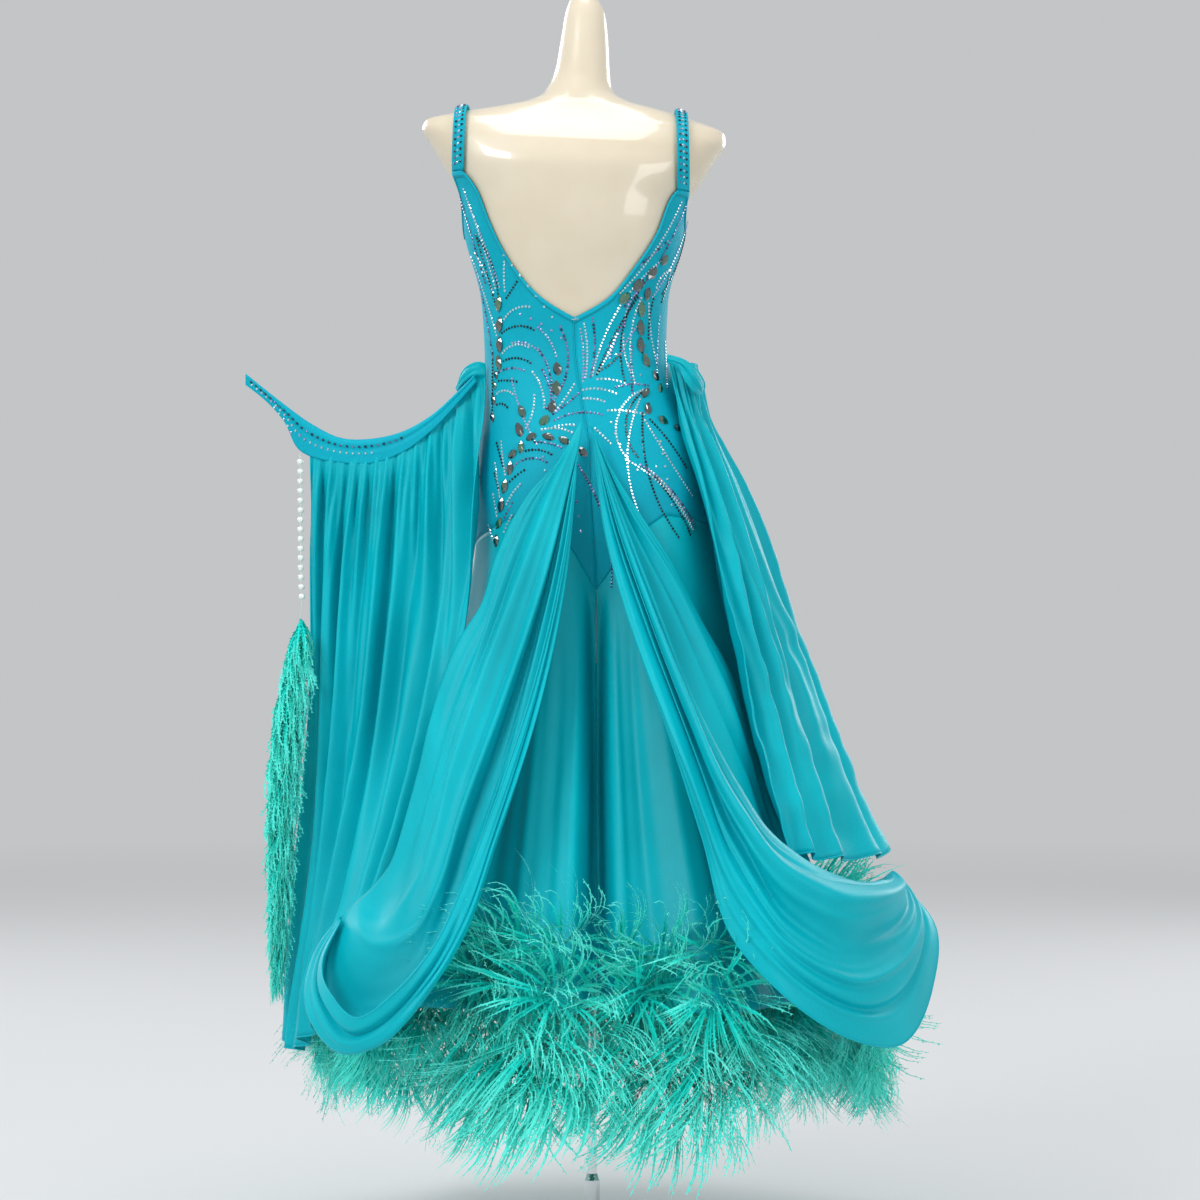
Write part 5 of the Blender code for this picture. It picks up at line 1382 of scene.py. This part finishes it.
# %% Sprays of rhinestones
ICE, AQUA, VIOLET, NAVY, DARK = 0.0, 0.25, 0.5, 0.75, 0.9
SPRAYS = [
    # x, z, heading in degrees from +X, length, bend in degrees, tint
    (-0.110, 1.175, 60, 0.037, -70, ICE), (-0.113, 1.158, 40, 0.043, -70, DARK),
    (-0.112, 1.133, 55, 0.036, -85, ICE), (-0.111, 1.123, 25, 0.036, -60, DARK),
    (-0.117, 1.109, 30, 0.033, -55, VIOLET), (-0.117, 1.098, 5, 0.023, -20, DARK),
    (-0.119, 1.082, 40, 0.022, -85, ICE), (-0.119, 1.068, 25, 0.015, -80, DARK),
    (-0.118, 1.207, 92, 0.075, 35, DARK), (-0.109, 1.210, 95, 0.035, -8, ICE),
    (-0.107, 1.201, 55, 0.023, 0, DARK), (-0.124, 1.209, 110, 0.055, 8, ICE),
    (-0.120, 1.156, 105, 0.105, 5, ICE), (-0.125, 1.128, 98, 0.110, 5, VIOLET),
    (-0.125, 1.134, -90, 0.085, 0, DARK),
    (-0.067, 1.163, -40, 0.043, -35, AQUA), (-0.067, 1.136, -52, 0.066, -45, VIOLET),
    (-0.074, 1.107, -50, 0.048, -42, ICE), (-0.072, 1.078, -85, 0.043, -35, ICE),
    (-0.040, 1.164, -60, 0.112, -75, VIOLET), (-0.048, 1.054, 50, 0.045, 10, ICE),
    (-0.048, 1.054, 35, 0.040, 8, VIOLET), (-0.046, 1.046, 30, 0.060, -45, VIOLET),
    (-0.050, 1.036, 20, 0.028, -25, ICE), (-0.062, 1.034, 15, 0.038, -40, ICE),
    (-0.011, 1.095, 85, 0.066, 15, AQUA), (-0.008, 1.100, 80, 0.068, 22, ICE),
    (-0.002, 1.101, 75, 0.074, 25, VIOLET), (0.001, 1.103, 80, 0.175, -40, ICE),
    (0.006, 1.104, 70, 0.110, -15, DARK), (0.007, 1.106, 58, 0.055, 12, ICE),
    (0.009, 1.108, 25, 0.032, 30, DARK), (0.007, 1.098, 5, 0.034, -25, ICE),
    (-0.011, 1.084, 15, 0.042, -40, ICE), (-0.010, 1.073, 5, 0.026, -25, ICE),
    (0.055, 1.207, -130, 0.045, 40, AQUA), (0.058, 1.207, -125, 0.115, 50, DARK),
    (0.0615, 1.201, -115, 0.110, 40, ICE), (0.071, 1.195, -90, 0.075, 15, ICE),
    (0.077, 1.201, -105, 0.050, 15, DARK), (0.039, 1.155, -92, 0.050, 25, ICE),
    (0.098, 1.239, -150, 0.030, 45, ICE), (0.0615, 1.242, 40, 0.045, 5, VIOLET),
    (0.098, 1.237, -100, 0.040, -10, DARK),
    (0.0635, 1.085, -160, 0.105, 110, ICE), (0.061, 1.081, -140, 0.090, 90, DARK),
    (0.0595, 1.073, -115, 0.175, 55, ICE), (0.063, 1.055, -95, 0.165, 40, DARK),
    (0.066, 1.046, -60, 0.110, 5, ICE), (0.072, 1.0475, -45, 0.075, -15, DARK),
    (0.004, 1.035, -42, 0.027, -5, ICE),
    (-0.108, 0.979, 100, 0.042, -5, ICE), (-0.115, 0.952, 98, 0.042, 0, ICE),
    (-0.1185, 0.928, 100, 0.027, 0, ICE), (-0.124, 0.897, 105, 0.020, 0, ICE),
    (-0.161, 1.338, -69, 0.130, -6, ICE), (-0.155, 1.318, -66, 0.110, -6, AQUA),
    (-0.165, 1.328, -74, 0.110, 0, VIOLET), (-0.146, 1.280, -72, 0.090, -4, DARK),
    (0.112, 1.322, -112, 0.140, -22, ICE), (0.117, 1.318, -108, 0.150, -24, VIOLET),
    (0.121, 1.303, -104, 0.110, -20, AQUA), (0.118, 1.288, -100, 0.085, -20, DARK),
    (0.042, 0.996, -25, 0.120, -40, ICE), (0.060, 0.990, -30, 0.105, -35, VIOLET),
    (0.070, 0.985, -38, 0.095, -30, ICE), (0.078, 0.975, -48, 0.085, -20, DARK),
    (0.022, 1.125, 78, 0.050, -20, VIOLET), (0.036, 1.130, 70, 0.045, -20, AQUA),
    (0.030, 1.088, 20, 0.040, -30, VIOLET), (0.020, 1.058, 5, 0.045, -20, ICE),
    (-0.100, 1.145, 10, 0.040, -60, AQUA), (-0.062, 1.110, -60, 0.050, -30, VIOLET),
    (0.085, 1.180, -95, 0.080, 5, AQUA), (0.050, 1.140, -95, 0.060, 10, VIOLET),
    (0.092, 1.150, -88, 0.060, 0, ICE), (-0.100, 1.100, -80, 0.090, 20, AQUA),
    (-0.111, 0.990, 105, 0.030, 0, DARK), (-0.1165, 0.962, 105, 0.020, 0, DARK),
    (-0.097, 0.9895, 45, 0.044, -75, VIOLET), (-0.082, 1.008, 15, 0.033, -45, DARK),
    (-0.071, 1.019, 0, 0.034, -25, VIOLET), (-0.102, 0.970, 45, 0.023, -15, DARK),
    (-0.106, 0.942, 65, 0.030, -20, ICE), (-0.1085, 0.926, 62, 0.020, 0, VIOLET),
    (-0.1095, 0.906, 65, 0.024, 0, ICE), (-0.017, 0.9895, -55, 0.160, -38, VIOLET),
]
SCATTERED = [
    # x, z, heading in degrees from +X, length, bend in degrees, tint
    (-0.110, 1.253, -52, 0.098, 0, ICE), (-0.023, 0.962, -75, 0.055, -10, AQUA),
    (0.024, 1.043, -72, 0.045, 10, ICE), (0.056, 0.984, 10, 0.024, 0, ICE),
    (-0.090, 1.180, -20, 0.060, -20, AQUA), (0.085, 1.020, -80, 0.080, 0, ICE),
    (0.030, 1.130, -40, 0.040, 0, AQUA), (-0.060, 1.000, -85, 0.070, 10, AQUA),
]
STONE_PITCH = 0.0043
SPARSE_PITCH = 0.0150


def spray_lines(sprays, front=False, steps=24):
    """Each spray as a line over the gown, with its outward directions and tint."""
    lines = []
    for x, z, heading, length, bend, tint in sprays:
        angle = np.radians(heading + bend * np.linspace(0, 1, steps))
        xs = x + np.append(0, np.cumsum(np.cos(angle)[1:])) * length / (steps - 1)
        zs = z + np.append(0, np.cumsum(np.sin(angle)[1:])) * length / (steps - 1)
        places, outward = stone_places(xs, zs, front)
        lines.append((places, outward, tint))
    return lines


STONE_ROWS = row_tree(STONE)
rhinestone = model_for("rhinestone", *gem(0.0019, 7, 0.0014))
stone_sets = []
for side in ("back", "front"):
    for label, sprays, pitch in (("sprays", SPRAYS, STONE_PITCH), ("singles", SCATTERED, SPARSE_PITCH)):
        stone_sets.append(grow(f"stones_{side}_{label}",
                               lines_host(spray_lines(sprays, front=side == "front")), STONE_ROWS,
                               "rhinestone", Copy=rhinestone, Pitch=pitch, Play=0.22, Tint_play=0.25,
                               Seed=3))

# %% Rows on the straps, the band and the right float
edge_rows = []
for name, grid in strap_grids.items():
    normals = normals_of(grid)
    middle = grid.shape[1] // 2
    upward = np.sign((normals[len(grid) // 2, middle] * (0, 0, 1)).sum())
    for column in (middle - 1, middle, middle + 1):
        line = grid[2:-2, column] + normals[2:-2, column] * upward * 0.0009
        edge_rows.append((line, normals[2:-2, column] * upward, (ICE, DARK, VIOLET)[column % 3]))
band_normals = normals_of(band_grid)
front_column = 8
band_normals *= np.sign(-(band_normals[50, front_column] * (0, 1, 0)).sum())
for column, last in ((6, 60), (10, 72)):
    line = band_grid[3:last, column] + band_normals[3:last, column] * 0.0008
    edge_rows.append((line, band_normals[3:last, column], (ICE, VIOLET, NAVY)[column % 3]))
corner = band_grid[14:26, 1:3].mean(axis=1) + band_normals[14:26, 1] * 0.0008
edge_rows.append((corner, band_normals[14:26, 1], ICE))
float_normals = normals_of(float_right_grid)
float_normals *= np.sign((float_normals[30, 60] * (1, -0.5, 0)).sum())
edge_rows.append((float_right_grid[4:40, 70] + float_normals[4:40, 70] * 0.0012,
                  float_normals[4:40, 70], ICE))
edge_stones = grow("stones_edges", lines_host(edge_rows), STONE_ROWS, "rhinestone", Copy=rhinestone,
                   Pitch=0.0078, Play=0.25, Tint_play=0.45, Seed=8)


# %% Green navettes
def set_tree(finish):
    """One copy on every point, its length along a stored direction."""
    tree, given, _ = new_tree("set_" + finish.name, Copy="")
    copy = add_to(tree, "GeometryNodeObjectInfo", Object=given.outputs["Copy"])
    turn = standing_on_cloth(tree, read(tree, "lengthways", "FLOAT_VECTOR"))
    placed = add_to(tree, "GeometryNodeInstanceOnPoints", Points=given.outputs["Geometry"],
                    Instance=copy.outputs["Geometry"], Rotation=turn, Scale=read(tree, "size"))
    finish_tree(tree, placed.outputs[0], finish)
    return tree


NAVETTES = [
    # x, z, heading of its length in degrees from +X, size
    (-0.117, 1.195, 90, 1.0), (-0.116, 1.169, 88, 1.0), (-0.116, 1.144, 92, 1.0),
    (-0.117, 1.121, 95, 1.0), (-0.1205, 1.106, 100, 0.6), (-0.122, 1.0925, 96, 0.6),
    (-0.1235, 1.0745, 94, 0.7), (-0.1245, 1.052, 92, 0.7),
    (-0.087, 1.057, 105, 0.9), (-0.090, 1.034, 95, 1.0), (-0.088, 1.012, 80, 0.8),
    (-0.099, 1.004, 40, 0.8), (-0.102, 0.986, 75, 0.9), (-0.1085, 0.964, 72, 0.9),
    (-0.113, 0.941, 75, 0.9), (-0.116, 0.917, 80, 0.8), (-0.119, 0.895, 82, 0.8),
    (-0.043, 1.110, 95, 0.9), (-0.0445, 1.0855, 85, 1.0), (-0.0495, 1.062, 72, 0.9),
    (-0.0595, 1.045, 45, 0.9), (-0.0755, 1.025, 30, 0.8), (-0.054, 1.025, 160, 0.8),
    (-0.034, 1.020, 150, 0.8), (-0.012, 1.006, 140, 0.8),
    (0.041, 1.200, 40, 1.0), (0.058, 1.217, 42, 1.1), (0.0755, 1.233, 48, 1.1), (0.091, 1.250, 52, 0.9),
    (0.0695, 1.207, 70, 0.9), (0.062, 1.187, 82, 1.0), (0.061, 1.164, 90, 1.0),
    (0.061, 1.142, 98, 1.0), (0.068, 1.122, 118, 1.0), (0.080, 1.103, 125, 0.8),
    (0.0855, 1.088, 100, 0.7), (0.0665, 1.081, 60, 0.8), (0.0695, 1.060, 105, 0.9),
    (0.089, 1.0465, 150, 0.9), (0.107, 1.038, 165, 0.8),
]


def navette_points(front=False):
    """The places, outward and lengthways directions and sizes of the green stones."""
    x, z, heading, size = np.array(NAVETTES).T
    turn = np.radians(heading)
    places, outward = stone_places(x, z, front)
    ahead, _ = stone_places(x + 0.003 * np.cos(turn), z + 0.003 * np.sin(turn), front)
    return places, outward, unit(ahead - places), size


green = [np.concatenate(pair) for pair in zip(navette_points(), navette_points(front=True))]
navette = model_for("navette", *gem(0.0062, 10, 0.0036, stretch=1.40))
green_host = points_host(green[0], outward=green[1], lengthways=green[2], size=green[3],
                         tint=np.resize((0.15, 0.55, 0.8, 0.35, 0.9), len(green[3])))
green_stones = grow("stones_green", green_host, set_tree(EMERALD), "green_stone", Copy=navette)

# %% [markdown]
# ## The feather hem
# Four rows of ostrich tufts are sewn round the hem. The upper two stand out from the skirt in fans
# and the lower two hang to the ankle. Where a swag lies over the trim the feathers are pressed
# down, so the trim has a fullness for every direction round the figure. The tufts could be hair,
# but a hair system is not kept by an export, so each strand is a small mesh that is copied.

# %% Tufts along the hem
FAN_KINDS = strand_set("fan_strands", length=0.108, lean=30, weight=0.20, curl=0.50, seed=11)
HANG_KINDS = strand_set("hang_strands", length=0.131, lean=19, weight=0.16, curl=0.45, seed=12)
TRIM_FULLNESS = [
    # degrees, how far the fan stands out
    (-180, 0.95), (-112, 1.0), (-100, 0.55), (-92, 0.0), (-32, 0.0), (-27, 0.45), (-21, 0.95),
    (-6, 0.95), (-2.5, 0.2), (2.5, 0.2), (6, 0.95), (22, 0.95), (28, 0.45), (33, 0.0), (76, 0.0),
    (84, 0.6), (98, 0.80), (112, 0.85), (130, 1.0), (180, 0.95),
]
TRIM_ROWS = [
    # name, share of the skirt's length, tufts round, strands in a tuft, strands to copy, out
    ("fan_top", 0.875, 44, 66, FAN_KINDS, 0.012),
    ("fan", 0.955, 48, 76, FAN_KINDS, 0.014),
    ("fall", 1.030, 56, 72, HANG_KINDS, 0.004),
    ("fall_low", 1.100, 60, 66, HANG_KINDS, 0.000),
]
KINDS = 16              # headings in a set of strands, from straight up and on round
HANGING = (4.5, 11.5)   # those of them that point down or sideways
TUFT_PLAY = 0.022       # how far a tuft strays from its row, and a root from its tuft
NO_FAN = 0.3            # fullness under which no fan is planted
TRIM_SLIT = 0.25        # how much of the centre fold the trim follows


def tufted(share, tufts, strands, out, hanging_only, draw):
    """Roots of the strands of a row of tufts, each strand heading away from its tuft's middle."""
    degrees = np.linspace(-180, 180, tufts, endpoint=False) + draw.uniform(-2.5, 2.5, tufts)
    heights = share + draw.uniform(-TUFT_PLAY, TUFT_PLAY, tufts)
    fullness = np.interp(degrees, *zip(*TRIM_FULLNESS))
    places, outward, kinds, reach = [], [], [], []
    for middle, height, full in zip(degrees, heights, fullness):
        if full < NO_FAN and not hanging_only:
            continue
        at = skirt(np.array(middle), np.array(height), out, slit=TRIM_SLIT)
        away = unit(skirt(np.array(middle), np.array(height), out + 0.02, slit=TRIM_SLIT) - at)
        sideways = unit(np.cross((0, 0, 1), away))
        low, high = HANGING if hanging_only else (0, KINDS)
        for kind in draw.uniform(low, high, strands).astype(int) % KINDS:
            turn = 2 * math.pi * kind / KINDS
            root = draw.uniform(0.000, TUFT_PLAY)
            places.append(at + root * (sideways * math.sin(turn) + np.array([0, 0, math.cos(turn)])))
            outward.append(away)
            kinds.append(kind)
            pressed_to = 0.50 if hanging_only else 0.60
            reach.append(pressed_to + (1 - pressed_to) * full)
    return np.array(places), np.array(outward), np.array(kinds), np.array(reach)


hem_trim = []
draw = np.random.default_rng(21)
for name, share, tufts, strands, group, out in TRIM_ROWS:
    places, outward, kinds, reach = tufted(share, tufts, strands, out, group is HANG_KINDS, draw)
    host = points_host(places, outward=outward, kind=kinds, reach=reach)
    trim = grow(f"feather_{name}", host, STRANDS, "ostrich_feather", Strands=group, Swing=0.22,
                Tilt=0.10, Large=1.08, Seed=31)
    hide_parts("feather_hem")
    hem_trim.append(trim)

# %% [markdown]
# ## The floor
# The skirts are cut flared, the swags and floats wide enough for their folds, and the arm band as a
# strip twice its finished width. Each cloth prints its width, length and area as it is made, and a
# pale floor is laid under the form.

# %% Floor
# Its far part fades into the world's own colour, so that no horizon cuts across the picture.
floor_mesh = bpy.data.meshes.new("floor")
work = bmesh.new()
bmesh.ops.create_circle(work, cap_ends=True, radius=30.0, segments=96)
work.to_mesh(floor_mesh)
work.free()
FLOOR = new_finish("studio_floor", (0.66, 0.67, 0.68), 0.8, specular=0.2)
far = node(FLOOR, "ShaderNodeVectorMath", {"operation": "LENGTH"},
           Vector=node(FLOOR, "ShaderNodeTexCoord").outputs["Object"]).outputs["Value"]
fade = node(FLOOR, "ShaderNodeMapRange", Value=far, **{"From Min": 1.2, "From Max": 7.0})
haze = node(FLOOR, "ShaderNodeEmission", Color=WORLD_COLOUR, Strength=WORLD_STRENGTH)
blend = node(FLOOR, "ShaderNodeMixShader", _0=fade.outputs["Result"],
             _1=FLOOR.node_tree.nodes["Principled BSDF"].outputs[0], _2=haze.outputs[0])
FLOOR.node_tree.links.new(blend.outputs[0], FLOOR.node_tree.nodes["Material Output"].inputs[0])
floor_mesh.materials.append(FLOOR)
floor = bpy.data.objects.new("floor", floor_mesh)
floor.location.z = -0.001
bpy.context.scene.collection.objects.link(floor)
print("floor laid", floor.dimensions.x, "m across")
